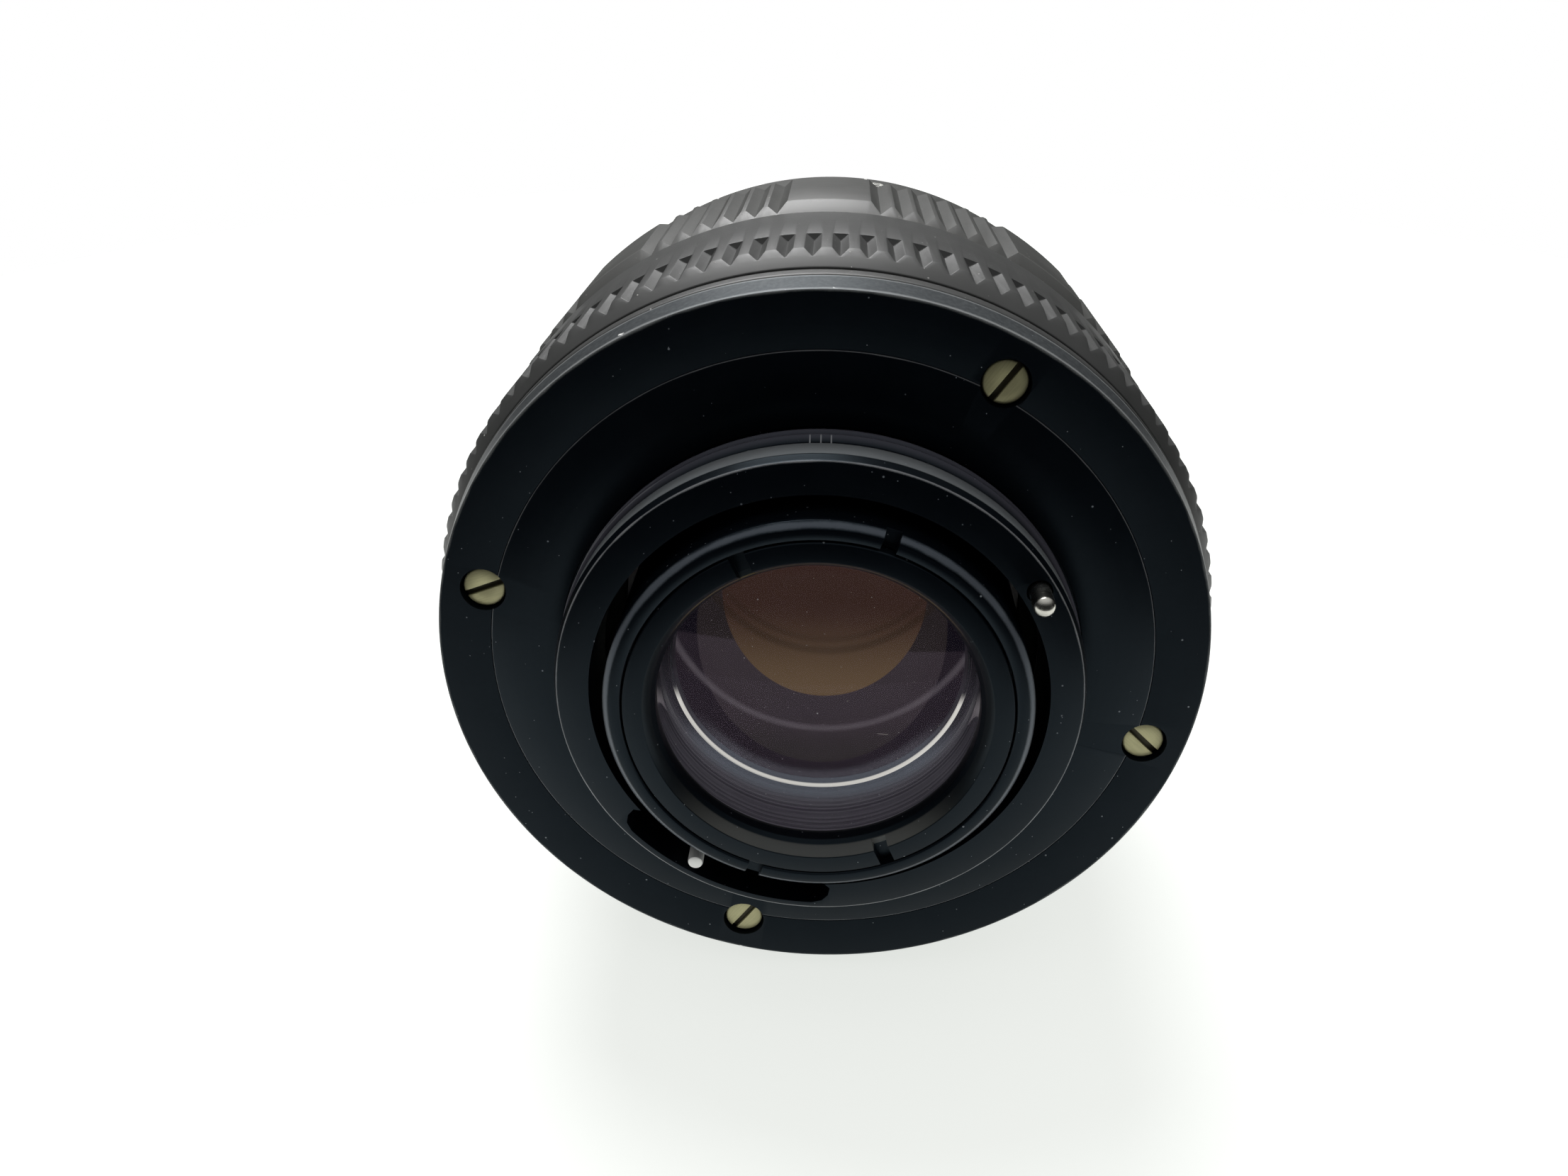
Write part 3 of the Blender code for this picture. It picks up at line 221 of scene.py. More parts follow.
class Coat(Graph):
    """Node tree of one material, which knows the place on the piece in mm."""

    def __init__(self, name: str, centre: tuple[float, float] = (0.0, 0.0)) -> None:
        """Make the material and read the place.

        Args:
            name: Name of the material.
            centre: Centre line (x, z) from which x, z and the radius are measured.
        """
        self.material = bpy.data.materials.new(name)
        self.material.use_nodes = True
        super().__init__(self.material.node_tree)
        self.shader = self.tree.nodes["Principled BSDF"]
        self.out = self.tree.nodes["Material Output"]
        place = self.node("ShaderNodeTexCoord", output="Object")
        self.place = self.node("ShaderNodeVectorMath", {"operation": "SCALE"},
                               {0: place, "Scale": 1 / MM})
        split = self.node("ShaderNodeSeparateXYZ", None, {0: self.place})
        self.x, self.y, self.z = split - centre[0], split.sibling(1), split.sibling(2) - centre[1]
        self.radius = (self.x * self.x + self.z * self.z).math("SQRT")

    def set(self, **values: "Signal | float | Colour") -> None:
        """Set sockets of the Principled shader.

        Args:
            values: What each socket gets; underscores stand for the spaces of its name.
        """
        for key, value in values.items():
            self.feed(self.shader.inputs[key.replace("_", " ").title().replace("Ior", "IOR")], value)

    def noise(self, scale: float, detail: float = 2.0, vector: Signal | None = None) -> Signal:
        """Noise from 0 to 1 with scale cells per mm."""
        return self.node("ShaderNodeTexNoise", None,
                         {"Vector": vector or self.place, "Scale": scale, "Detail": detail})

    def lathe(self, pitch: float) -> Signal:
        """Draw noise out into fine lines round the centre line.

        Args:
            pitch: Lines per mm.

        Returns:
            The noise, from 0 to 1.
        """
        drift, radius = 0.6, self.radius.math("MAXIMUM", 0.05)
        vector = self.node("ShaderNodeCombineXYZ", None, {
            0: self.x / radius * drift, 1: self.y * pitch, 2: self.z / radius * drift})
        return self.node("ShaderNodeTexNoise", {"noise_dimensions": "4D"},
                         {"Vector": vector, "W": radius * pitch, "Scale": 1.0, "Detail": 3.0})

    def specks(self, scale: float, size: float, share: float) -> Signal:
        """Sparse round specks, one in some cells of a Voronoi pattern.

        Args:
            scale: Cells per mm.
            size: Radius of a speck, as a share of its cell.
            share: Share of the cells that hold one.

        Returns:
            1 on a speck and 0 off it.
        """
        cell = self.node("ShaderNodeTexVoronoi", None, {"Vector": self.place, "Scale": scale},
                         "Distance")
        chosen = self.node("ShaderNodeSeparateColor", None, {0: cell.sibling("Color")})
        return cell.smooth(size * 0.4, size, 1.0, 0.0) * chosen.math("LESS_THAN", share)

    def bump(self, height: Signal, depth: float, strength: float = 1.0) -> Signal:
        """Normal from a height signal, depth in mm for a height of 1."""
        return self.node("ShaderNodeBump", None,
                         {"Height": height, "Distance": depth * MM, "Strength": strength})


# ---- finishes ---------------------------------------------------------------------------------
@dataclass(frozen=True)
class Edge:
    """A circular edge where the finish is rubbed through."""

    radius: float
    y: float
    reach: float = 0.35
    amount: float = 0.7


@dataclass(frozen=True)
class Finish:
    """Turned metal or paint with lathe lines, mottling, rubbed edges and dust."""

    name: str
    colour: Colour
    shade: Colour
    roughness: float = 0.4
    metallic: float = 0.0
    specular: float = 0.5
    sheen_tint: Colour = WHITE
    pitch: float = 7.0
    turning: float = 0.35
    grain: float = 0.3
    dust: float = 0.05
    dust_colour: Colour = (0.5, 0.5, 0.48)
    bare: Colour = (0.45, 0.45, 0.44)
    edges: tuple[Edge, ...] = ()
    centre: tuple[float, float] = (0.0, 0.0)

    def material(self) -> bpy.types.Material:
        """Build the node material.

        Returns:
            The material.
        """
        coat = Coat(self.name, self.centre)
        lines, cloud, grit = coat.lathe(self.pitch), coat.noise(0.35, 4.0), coat.noise(22.0, 1.0)
        tone = coat.mix(cloud.smooth(0.2, 0.9), self.colour, self.shade)
        tone = coat.mix(grit.smooth(0.3, 0.75) * self.grain * 0.6, tone, self.shade)
        tone = self.paint(coat, tone, cloud)
        rubbed = self.rubbed(coat, cloud, grit)
        if rubbed is not None:
            tone = coat.mix(rubbed, tone, self.bare)
        specks = coat.specks(0.7, 0.075, self.dust * 6.0) + coat.specks(1.7, 0.1, self.dust * 4.0)
        tone = coat.mix(specks.limit() * 0.8, tone, self.dust_colour)
        rough = self.roughness + (lines - 0.5) * self.turning + (grit - 0.5) * self.grain * 0.5
        height = lines * self.turning + grit * self.grain * 0.6 + specks * 1.5
        coat.set(base_color=tone, roughness=(rough + specks * 0.3).math("MAXIMUM", 0.08).limit(),
                 metallic=self.metallic, specular_ior_level=self.specular,
                 specular_tint=self.sheen_tint, normal=coat.bump(height, 0.02, 0.6))
        return coat.material

    def paint(self, coat: Coat, tone: Signal, cloud: Signal) -> Signal:
        """Extra colour of a special finish; plain finishes add none."""
        return tone

    def rubbed(self, coat: Coat, cloud: Signal, grit: Signal) -> Signal | None:
        """Find how far the finish is rubbed through near its edges.

        Args:
            coat: Graph of the material.
            cloud: Broad mottling from 0 to 1.
            grit: Fine mottling from 0 to 1.

        Returns:
            A share from 0 to 1, or None for a finish without edges.
        """
        total = None
        for edge in self.edges:
            away = (coat.radius - edge.radius).math("POWER", 2.0) + (coat.y - edge.y).math("POWER", 2.0)
            ragged = away.math("SQRT") + (cloud - 0.5) * edge.reach + (grit - 0.5) * edge.reach * 0.5
            share = ragged.smooth(edge.reach * 0.25, edge.reach, edge.amount, 0.0)
            total = share if total is None else total.math("MAXIMUM", share)
        return total


@dataclass(frozen=True)
class MountFinish(Finish):
    """Black mount paint whose thread and pilot band are burnished bare."""

    band: Colour = (0.2, 0.215, 0.225)
    tint: Colour = (0.07, 0.068, 0.085)
    ticks: tuple[float, ...] = (-0.9, -0.1, 0.65)

    def paint(self, coat: Coat, tone: Signal, cloud: Signal) -> Signal:
        """Burnish the pilot band and the thread crests, and mark ticks across the thread.

        Args:
            coat: Graph of the material.
            tone: The colour so far.
            cloud: Broad mottling from 0 to 1.

        Returns:
            The new colour.
        """
        on_band = coat.y.band(-3.35, 0.95, 0.15) * coat.radius.smooth(20.6, 20.7)
        on_thread = coat.y.band(-1.2, 1.05, 0.1) * coat.radius.smooth(20.5, 20.95)
        tone = coat.mix(on_thread, tone, self.tint)
        tone = coat.mix(on_band * (0.75 + cloud * 0.5), tone, self.band)
        for tick in self.ticks:
            mark = coat.x.band(tick, 0.02, 0.05) * coat.z.smooth(20.0, 20.5)
            tone = coat.mix(mark * coat.y.band(-1.7, 0.35, 0.1) * 0.7, tone, self.bare)
        return tone


@dataclass(frozen=True)
class BandFinish(Finish):
    """Side band of the housing, handled until its paint is thin, with chips."""

    rim: float = 31.12
    thin: Colour = (0.085, 0.091, 0.094)
    chip: Colour = (0.85, 0.85, 0.83)

    def paint(self, coat: Coat, tone: Signal, cloud: Signal) -> Signal:
        """Thin the paint on the band and chip it along its rear edge.

        Args:
            coat: Graph of the material.
            tone: The colour so far.
            cloud: Broad mottling from 0 to 1; not used.

        Returns:
            The new colour.
        """
        outside = coat.radius.smooth(self.rim, self.rim + 0.13)
        share = outside * coat.noise(3.0, 5.0).smooth(0.3, 0.75) * 0.3 + outside * 0.45
        tone = coat.mix(share, tone, self.thin)
        chips = coat.noise(0.8, 4.0).smooth(0.66, 0.7) * coat.y.band(0.2, 0.35, 0.2)
        return coat.mix(chips * coat.radius.smooth(self.rim - 0.12, self.rim - 0.02), tone, self.chip)


@dataclass(frozen=True)
class CellFinish(Finish):
    """Rear cell: black outside, and purple-grey grooves behind the rear element, painted as light that
    glows, with painted shade and highlights.
    """

    # painted light of the bore, given out as emission: groove tones, painted shade at the top, painted
    # highlights on the ledge and lip
    valley: Colour = (0.034, 0.033, 0.042)
    ridge: Colour = (0.072, 0.07, 0.087)
    shadow: Colour = (0.003, 0.003, 0.004)
    ledge: Colour = (0.1, 0.115, 0.145)
    cream: Colour = (0.8, 0.8, 0.78)
    # strength of the bore's painted glow
    glow: float = 0.9

    def paint(self, coat: Coat, tone: Signal, cloud: Signal) -> Signal:
        """Paint light into the grooved bore: a glow, painted shade at its top, and painted highlights on
        the blue-grey ledge and the cream lip at its inner edge.

        Args:
            coat: Graph of the material.
            tone: The colour so far.
            cloud: Broad mottling from 0 to 1.

        Returns:
            The new colour; the bore's painted light goes into the emission, so it glows.
        """
        x, y, z, radius = coat.x, coat.y, coat.z, coat.radius
        inside = radius.smooth(13.3, 13.35, 1.0, 0.0) * y.smooth(-4.6, -4.4)
        # painted light: the groove tones glow through the emission set below
        wave = (y * 11.0 + cloud * 3.0).math("SINE") * 0.5 + (y * 29.0).math("SINE") * 0.3
        bore = coat.mix(wave.smooth(-0.8, 0.8), self.valley, self.ridge)
        # painted shade: the bore is darker towards its top
        bore = coat.mix(z.smooth(3.0, -9.0), self.shadow, bore)
        spots = coat.noise(11.0, 1.0).smooth(0.35, 0.75)
        # painted highlight: the blue-grey ledge is lit on its lower part only
        lit_ledge_mask = y.smooth(-0.4, 1.3) * z.smooth(-5.0, -10.0)
        bore = coat.mix(lit_ledge_mask * (0.55 + spots * 0.45), bore, self.ledge)
        # painted highlight: the cream lip and its edges, lit on the lower part only and brighter towards
        # +X
        edge = radius.band(12.22, 0.07, 0.03) + radius.band(12.49, 0.05, 0.03)
        inner = y.smooth(1.15, 1.3, 1.0, 0.0).math("MAXIMUM", radius.smooth(12.3, 12.35))
        lit = x.smooth(-4.0, 9.0, 0.6, 1.0) + z.smooth(-9.0, -3.0) * 0.4
        flat = (radius.band(12.36, 0.14, 0.03) * lit).limit()
        lip = y.smooth(0.6, 0.8) * radius.smooth(12.54, 12.56, 1.0, 0.0)
        lip = lip * z.smooth(-2.2, -3.8) * inner
        bore = coat.mix((edge * 0.9).math("MAXIMUM", flat) * lip, bore, self.cream)
        # painted light: the bore's colours go into the emission, so it glows though it is no lamp
        coat.set(emission_color=coat.mix(inside, BLACK, bore), emission_strength=self.glow)
        return coat.mix(inside, tone, (0.004, 0.004, 0.005))


@dataclass(frozen=True)
class BevelFinish(Finish):
    """Retaining ring whose inner bevel has a painted highlight in olive grey below and painted shade
    above.
    """

    olive: Colour = (0.12, 0.12, 0.112)
    shadow: Colour = (0.01, 0.012, 0.014)
    amber: Colour = (0.2, 0.15, 0.07)

    def paint(self, coat: Coat, tone: Signal, cloud: Signal) -> Signal:
        """Paint a highlight on the lower part of the bevel and shade on its upper part, and a thin amber
        glint at the top where it meets the glass.

        Args:
            coat: Graph of the material.
            tone: The colour so far.
            cloud: Broad mottling from 0 to 1; not used.

        Returns:
            The new colour.
        """
        bevel = coat.radius.smooth(12.85, 12.95) * coat.radius.smooth(13.42, 13.46, 1.0, 0.0)
        # painted highlight on the lower part of the bevel, painted shade on its upper part
        low = coat.z.smooth(-5.0, -12.0)
        tone = coat.mix(bevel * low, tone, self.olive)
        tone = coat.mix(bevel * (1.0 - low), tone, self.shadow)
        # painted glint: a thin amber line along the glass, at the top only
        line = coat.radius.band(12.93, 0.05, 0.05) * coat.y.band(-6.1, 0.12, 0.1)
        return coat.mix(line * coat.z.smooth(6.0, 10.0) * 0.7, tone, self.amber)


@dataclass(frozen=True)
class ScrewFinish(Finish):
    """Pale brass screw head, brushed one way, darker in its slot and round its rim."""

    slot: float = 0.0
    slot_rim_dark: Colour = (0.05, 0.045, 0.025)

    def paint(self, coat: Coat, tone: Signal, cloud: Signal) -> Signal:
        """Brush streaks along the slot and darken the slot's floor and the rim.

        Args:
            coat: Graph of the material.
            tone: The colour so far.
            cloud: Broad mottling from 0 to 1; not used.

        Returns:
            The new colour.
        """
        angle = math.radians(self.slot)
        across = coat.z * math.cos(angle) - coat.x * math.sin(angle)
        vector = coat.node("ShaderNodeCombineXYZ", None,
                           {0: across * 9.0, 1: coat.x * 0.7, 2: coat.z * 0.7})
        streak = coat.noise(1.0, 3.0, vector).smooth(0.3, 0.7)
        tone = coat.mix(streak * 0.6, tone, self.shade)
        # darker on the slot's floor, and at half strength round the rim
        floor = across.band(0.0, 0.25, 0.05) * coat.y.smooth(0.5, 0.7)
        rim = coat.radius.smooth(1.5, 1.66)
        return coat.mix(floor.math("MAXIMUM", rim * 0.5), tone, self.slot_rim_dark)


@dataclass(frozen=True)
class ClearGlass:
    """A coated element that is seen through, with a blackened ground rim."""

    name: str
    radius: float
    coating: Colour
    tint: Colour = (0.93, 0.92, 0.9)
    mirror: float = 0.7
    dust: float = 0.14
    rim: float = 1.0

    def material(self) -> bpy.types.Material:
        """Build transparent glass that mirrors more at a glancing angle, with fine dust.

        Returns:
            The material.
        """
        coat = Coat(self.name)
        rim = coat.radius.smooth(self.radius - 0.12, self.radius - 0.04) * self.rim
        specks = coat.specks(0.8, 0.07, self.dust) + coat.specks(2.2, 0.1, self.dust * 0.6)
        smear = coat.noise(0.25, 3.0)
        weight = coat.node("ShaderNodeFresnel", None, {"IOR": 1.45}) * (self.mirror + smear * 0.3)
        share = weight.math("MAXIMUM", rim).math("MAXIMUM", specks * 0.55).limit()
        tone = coat.mix(specks.limit(), self.coating, (0.6, 0.6, 0.58))
        coat.set(base_color=coat.mix(rim, tone, (0.012, 0.012, 0.014)),
                 roughness=rim * 0.6 + specks * 0.5 + 0.03,
                 metallic=1.0 - rim.math("MAXIMUM", specks).limit())
        clear = coat.node("ShaderNodeBsdfTransparent", None, {"Color": self.tint})
        blend = coat.node("ShaderNodeMixShader", None,
                          {0: share, 1: clear, 2: Signal(coat, coat.shader.outputs[0])})
        coat.feed(coat.out.inputs["Surface"], blend)
        return coat.material


@dataclass(frozen=True)
class DeepGlass:
    """The inner rear element: what shows in its depth is painted light in its emission, light let through
    from the front with reflections, a lit rim and glowing hair and dust.
    """

    name: str
    # colours of painted light, all given out as emission: the opening, the reflection, the bows, the glint
    # and the lit rim
    amber_low: Colour = (0.108, 0.072, 0.042)
    amber_high: Colour = (0.036, 0.019, 0.014)
    amber_top: Colour = (0.03, 0.006, 0.004)
    purple: Colour = (0.036, 0.029, 0.036)
    purple_low: Colour = (0.026, 0.023, 0.024)
    purple_high: Colour = (0.011, 0.009, 0.007)
    dark: Colour = (0.012, 0.009, 0.014)
    dark_cloud: Colour = (0.02, 0.016, 0.022)
    dark_high: Colour = (0.002, 0.002, 0.004)
    bow: Colour = (0.016, 0.011, 0.005)
    glint: Colour = (0.14, 0.125, 0.15)
    rim: Colour = (0.1, 0.1, 0.125)
    hair: Colour = (0.2, 0.19, 0.19)
    dust: Colour = (0.3, 0.29, 0.26)
    front: Colour = (0.006, 0.005, 0.012)
    soft: float = 0.012

    @staticmethod
    def away(coat: Coat, centre: tuple[float, float],
             half: tuple[float, float] = (1.0, 1.0)) -> Signal:
        """Distance from a centre (x, z), in half sizes of an ellipse."""
        wide = ((coat.x - centre[0]) / half[0]).math("POWER", 2.0)
        high = ((coat.z - centre[1]) / half[1]).math("POWER", 2.0)
        return (wide + high).math("SQRT")

    def oval(self, coat: Coat, centre: tuple[float, float], half: tuple[float, float]) -> Signal:
        """1 inside an ellipse, 0 outside."""
        return self.away(coat, centre, half).smooth(1.0 - self.soft, 1.0, 1.0, 0.0)

    def depth(self, coat: Coat, cloud: Signal) -> Signal:
        """Paint the amber opening in the purple reflection, and the soft bows round it.

        Args:
            coat: Graph of the material.
            cloud: Broad mottling from 0 to 1.

        Returns:
            The colour.
        """
        # painted shade: everything above the middle is darker
        above = (coat.z + coat.x * 0.055).smooth(1.75, 2.05)
        around = coat.mix(cloud, self.dark, self.dark_cloud)
        tone = coat.mix(above * 0.85, around, self.dark_high)
        violet = coat.mix(coat.z.smooth(-4.5, -9.5), self.purple, self.purple_low)
        violet = coat.mix(above * 0.7, violet, self.purple_high)
        disc = self.oval(coat, (0.15, 2.6), (10.28, 12.67))
        tone = coat.mix(disc * (0.9 + cloud * 0.1), tone, violet)
        opening = self.oval(coat, (0.34, 6.65), (8.28, 9.4))
        # painted light: the amber opening is brightest at its bottom and darkest at its top
        warm = coat.mix(coat.z.smooth(6.0, -2.4), self.amber_high, self.amber_low)
        warm = coat.mix(coat.z.smooth(8.0, 10.5) * 0.6, warm, self.amber_top)
        tone = coat.mix(opening, tone, warm)
        ring = self.away(coat, (0.5, 13.2))
        bows = ring.band(11.5, 0.12, 0.4) + ring.band(10.5, 0.08, 0.35) * 0.7
        tone = coat.mix(bows * coat.z.smooth(9.0, 5.0) * 0.38, tone, self.bow)
        glint = self.away(coat, (0.3, 7.5)).band(13.62, 0.03, 0.5) * (1.0 - opening)
        return coat.mix(glint * (0.3 + cloud * 0.25), tone, self.glint)

    def material(self) -> bpy.types.Material:
        """Lay the lit rim, a hair and dust over the depth, and keep the front face dark.

        Returns:
            The material.
        """
        coat = Coat(self.name)
        cloud = coat.noise(0.4, 3.0)
        tone = self.depth(coat, cloud)
        spots = coat.noise(11.0, 1.0).smooth(0.42, 0.72)
        # painted highlight: the rim is lit on its lower part only
        edge = coat.radius.smooth(10.6, 11.7) * coat.z.smooth(-5.0, -9.0)
        tone = coat.mix(edge * (0.3 + spots * 0.55), tone, self.rim)
        # a real hair, painted as lit: it glows through the emission
        hair = (coat.z + 6.8 + (coat.x - 5.5) * 0.15).band(0.0, 0.02, 0.04)
        tone = coat.mix(hair * coat.x.band(5.5, 0.4, 0.1) * 0.8, tone, self.hair)
        # real dust, painted as lit: it glows through the emission
        specks = coat.specks(0.9, 0.07, 0.3) + coat.specks(2.1, 0.08, 0.2)
        tone = coat.mix(specks.limit() * 0.5, tone, self.dust)
        tone = coat.mix(coat.y.smooth(3.0, 4.0), tone, self.front)
        # painted light: the whole picture goes into the emission and glows, hair and dust included
        coat.set(base_color=(0.004, 0.003, 0.006), roughness=0.06 + cloud * 0.05, metallic=0.0,
                 specular_ior_level=0.02, emission_color=tone, emission_strength=1.0)
        return coat.material


@dataclass(frozen=True)
class Ink:
    """Filled engraving paint of the scales."""

    name: str
    colour: Colour

    def material(self) -> bpy.types.Material:
        """Build matt paint with worn patches.

        Returns:
            The material.
        """
        coat = Coat(self.name)
        worn = coat.noise(3.0, 4.0).smooth(0.45, 0.8)
        dull = tuple(part * 0.6 for part in self.colour)
        coat.set(base_color=coat.mix(worn, self.colour, dull), roughness=0.55 + worn * 0.2,
                 normal=coat.bump(coat.noise(25.0, 1.0), 0.01))
        return coat.material


ANODISED = Finish("anodised_grey", (0.04, 0.041, 0.04), (0.052, 0.053, 0.052), roughness=0.42,
                  specular=0.45, turning=0.12, grain=0.4, dust=0.05)
STEEL = Finish("steel_polished", (0.62, 0.61, 0.57), (0.5, 0.49, 0.46), roughness=0.22, metallic=1.0,
               turning=0.15, grain=0.15, dust=0.03)
CHAMBER = Finish("chamber_matt", (0.012, 0.012, 0.013), (0.02, 0.02, 0.021), roughness=0.75,
                 specular=0.3, turning=0.3, grain=0.5, dust=0.02)
BRASS = Finish("brass_turned", (0.5, 0.36, 0.14), (0.4, 0.28, 0.1), roughness=0.35, metallic=1.0,
               turning=0.3, grain=0.2, dust=0.02)
ALLOY = Finish("alloy_turned", (0.5, 0.5, 0.49), (0.4, 0.4, 0.39), roughness=0.38, metallic=1.0,
               turning=0.35, grain=0.2, dust=0.02)
BLACKENED = Finish("steel_blackened", (0.01, 0.01, 0.011), (0.018, 0.018, 0.019), roughness=0.6,
                   specular=0.3, turning=0.2, grain=0.4, dust=0.01)


# ---- modelling bench -----------------------------------------------------------------------------
class Bench:
    """Blender's modelling operators, with every selection made in code."""

    @staticmethod
    def clear() -> None:
        """Leave edit mode and select nothing."""
        if bpy.context.object and bpy.context.object.mode != "OBJECT":
            bpy.ops.object.mode_set(mode="OBJECT")
        bpy.ops.object.select_all(action="DESELECT")

    @classmethod
    def take(cls, piece: bpy.types.Object) -> None:
        """Make one piece the active and only selected one."""
        cls.clear()
        piece.select_set(True)
        bpy.context.view_layer.objects.active = piece

    @staticmethod
    def finish_mesh() -> None:
        """Merge doubles, turn the faces outwards and leave edit mode."""
        bpy.ops.mesh.select_all(action="SELECT")
        bpy.ops.mesh.remove_doubles(threshold=MM * 1e-4)
        bpy.ops.mesh.normals_make_consistent(inside=False)
        bpy.ops.object.mode_set(mode="OBJECT")

    @staticmethod
    def pick(piece: bpy.types.Object, test: Callable[[Vector], bool]) -> None:
        """In edit mode, select the vertices that pass a test and nothing else.

        Args:
            piece: The piece in edit mode.
            test: Says of a place in mm whether its vertex is wanted.
        """
        bpy.ops.mesh.select_all(action="DESELECT")
        shape = bmesh.from_edit_mesh(piece.data)
        for vert in shape.verts:
            vert.select = bool(test(vert.co / MM))
        shape.select_flush(True)
        bmesh.update_edit_mesh(piece.data)

    @classmethod
    def draw(cls, name: str, points: list[Vector], closed: bool = True) -> bpy.types.Object:
        """Extrude one vertex along a line of points in mm.

        Args:
            name: Name of the new piece.
            points: Places in mm.
            closed: Join the last point to the first.

        Returns:
            The piece, left in edit mode with the line selected.
        """
        cls.clear()
        bpy.ops.mesh.primitive_plane_add(size=MM, location=points[0] * MM)
        piece = bpy.context.object
        piece.name = piece.data.name = name
        bpy.ops.object.transform_apply(location=True, rotation=True, scale=True)
        bpy.ops.object.mode_set(mode="EDIT")
        bpy.ops.mesh.select_all(action="SELECT")
        bpy.ops.mesh.merge(type="CENTER")
        for here, there in zip(points, points[1:]):
            bpy.ops.mesh.extrude_vertices_move(TRANSFORM_OT_translate={"value": (there - here) * MM})
        if closed:
            ends = (points[0], points[-1])
            cls.pick(piece, lambda place: any((place - end).length < 1e-3 for end in ends))
            bpy.ops.mesh.edge_face_add()
        bpy.ops.mesh.select_all(action="SELECT")
        return piece

    @classmethod
    def turned(cls, name: str, section: Points, facets: int,
               centre: tuple[float, float] = (0.0, 0.0)) -> bpy.types.Object:
        """Spin a closed section round an axis along Y.

        Args:
            name: Name of the piece.
            section: Its (radius, y) points; the first and last may lie on the axis.
            facets: Facets of the full turn.
            centre: Where the axis is, as (x, z).

        Returns:
            The piece.
        """
        on_axis = section[0][0] == 0.0 and section[-1][0] == 0.0
        points = [Vector((centre[0] + radius, y, centre[1])) for radius, y in section]
        piece = cls.draw(name, points, closed=not on_axis)
        bpy.ops.mesh.spin(steps=facets, angle=TURN, axis=(0, 1, 0),
                          center=(centre[0] * MM, 0, centre[1] * MM))
        cls.finish_mesh()
        return piece

    @classmethod
    def prism(cls, name: str, corners: Points, rear: float, front: float,
              copies: int = 1) -> bpy.types.Object:
        """Extrude an outline of (x, z) along Y, and copy it round the axis.

        Args:
            name: Name of the piece.
            corners: The outline.
            rear: Where it starts along Y.
            front: Where it ends.
            copies: How many, evenly round the optical axis.

        Returns:
            The piece.
        """
        piece = cls.draw(name, [Vector((x, rear, z)) for x, z in corners])
        bpy.ops.mesh.edge_face_add()
        move = {"value": (0, (front - rear) * MM, 0)}
        bpy.ops.mesh.extrude_region_move(TRANSFORM_OT_translate=move)
        cls.copy_round(copies)
        cls.finish_mesh()
        return piece

    @staticmethod
    def copy_round(copies: int) -> None:
        """In edit mode, copy everything evenly round the optical axis.

        Args:
            copies: How many there are in the end.
        """
        if copies > 1:
            bpy.ops.mesh.select_all(action="SELECT")
            bpy.ops.mesh.spin(steps=copies - 1, dupli=True, angle=TURN * (copies - 1) / copies,
                              center=(0, 0, 0), axis=(0, 1, 0))

    @classmethod
    def sweep(cls, piece: bpy.types.Object, pitch: float, turns: int, steps: int) -> None:
        """Sweep a closed line into a helix round Y and close its two ends.

        Args:
            piece: The line, as draw leaves it.
            pitch: Rise of one turn.
            turns: How many turns.
            steps: Facets of one turn.
        """
        cls.modify(piece, "SCREW", axis="Y", angle=TURN, screw_offset=pitch * MM,
                   iterations=turns, steps=steps, render_steps=steps)
        bpy.ops.object.mode_set(mode="EDIT")
        bpy.ops.mesh.select_all(action="SELECT")
        bpy.ops.mesh.fill_holes(sides=0)
        cls.finish_mesh()

    @classmethod
    def rod(cls, name: str, radius: float, rear: float, front: float,
            centre: tuple[float, float], facets: int = 48) -> bpy.types.Object:
        """Add a cylinder along Y.

        Args:
            name: Name of the piece.
            radius: Its radius.
            rear: Where it starts along Y.
            front: Where it ends.
            centre: Its centre line, as (x, z).
            facets: Facets of the full turn.

        Returns:
            The cylinder.
        """
        cls.clear()
        middle = Vector((centre[0], (rear + front) / 2, centre[1])) * MM
        bpy.ops.mesh.primitive_cylinder_add(vertices=facets, radius=radius * MM,
                                            depth=(front - rear) * MM, location=middle,
                                            rotation=(math.pi / 2, 0, 0))
        piece = bpy.context.object
        piece.name = name
        bpy.ops.object.transform_apply(location=True, rotation=True, scale=True)
        return piece

    @classmethod
    def modify(cls, piece: bpy.types.Object, kind: str, **settings: object) -> None:
        """Add a modifier to a piece and apply it.

        Args:
            piece: The piece.
            kind: Type of the modifier.
            settings: Its properties.
        """
        cls.take(piece)
        change = piece.modifiers.new(kind, kind)
        for key, value in settings.items():
            setattr(change, key, value)
        bpy.ops.object.modifier_apply(modifier=change.name)

    @classmethod
    def combine(cls, piece: bpy.types.Object, *tools: bpy.types.Object,
                union: bool = False) -> None:
        """Cut tools away from a piece, or weld them to it, and delete the tools.

        Args:
            piece: The piece.
            tools: The closed shapes.
            union: Weld them on.
        """
        for tool in tools:
            cls.modify(piece, "BOOLEAN", operation="UNION" if union else "DIFFERENCE",
                       solver="EXACT", object=tool)
            bpy.data.objects.remove(tool, do_unlink=True)

    @classmethod
    def round_edges(cls, piece: bpy.types.Object, width: float, degrees: float = 32.0,
                    segments: int = 2) -> None:
        """Round every edge sharper than an angle.

        Args:
            piece: The piece.
            width: Width of the rounding.
            degrees: The angle.
            segments: Facets across the rounding.
        """
        cls.modify(piece, "BEVEL", width=width * MM, segments=segments, limit_method="ANGLE",
                   angle_limit=math.radians(degrees), miter_outer="MITER_ARC")

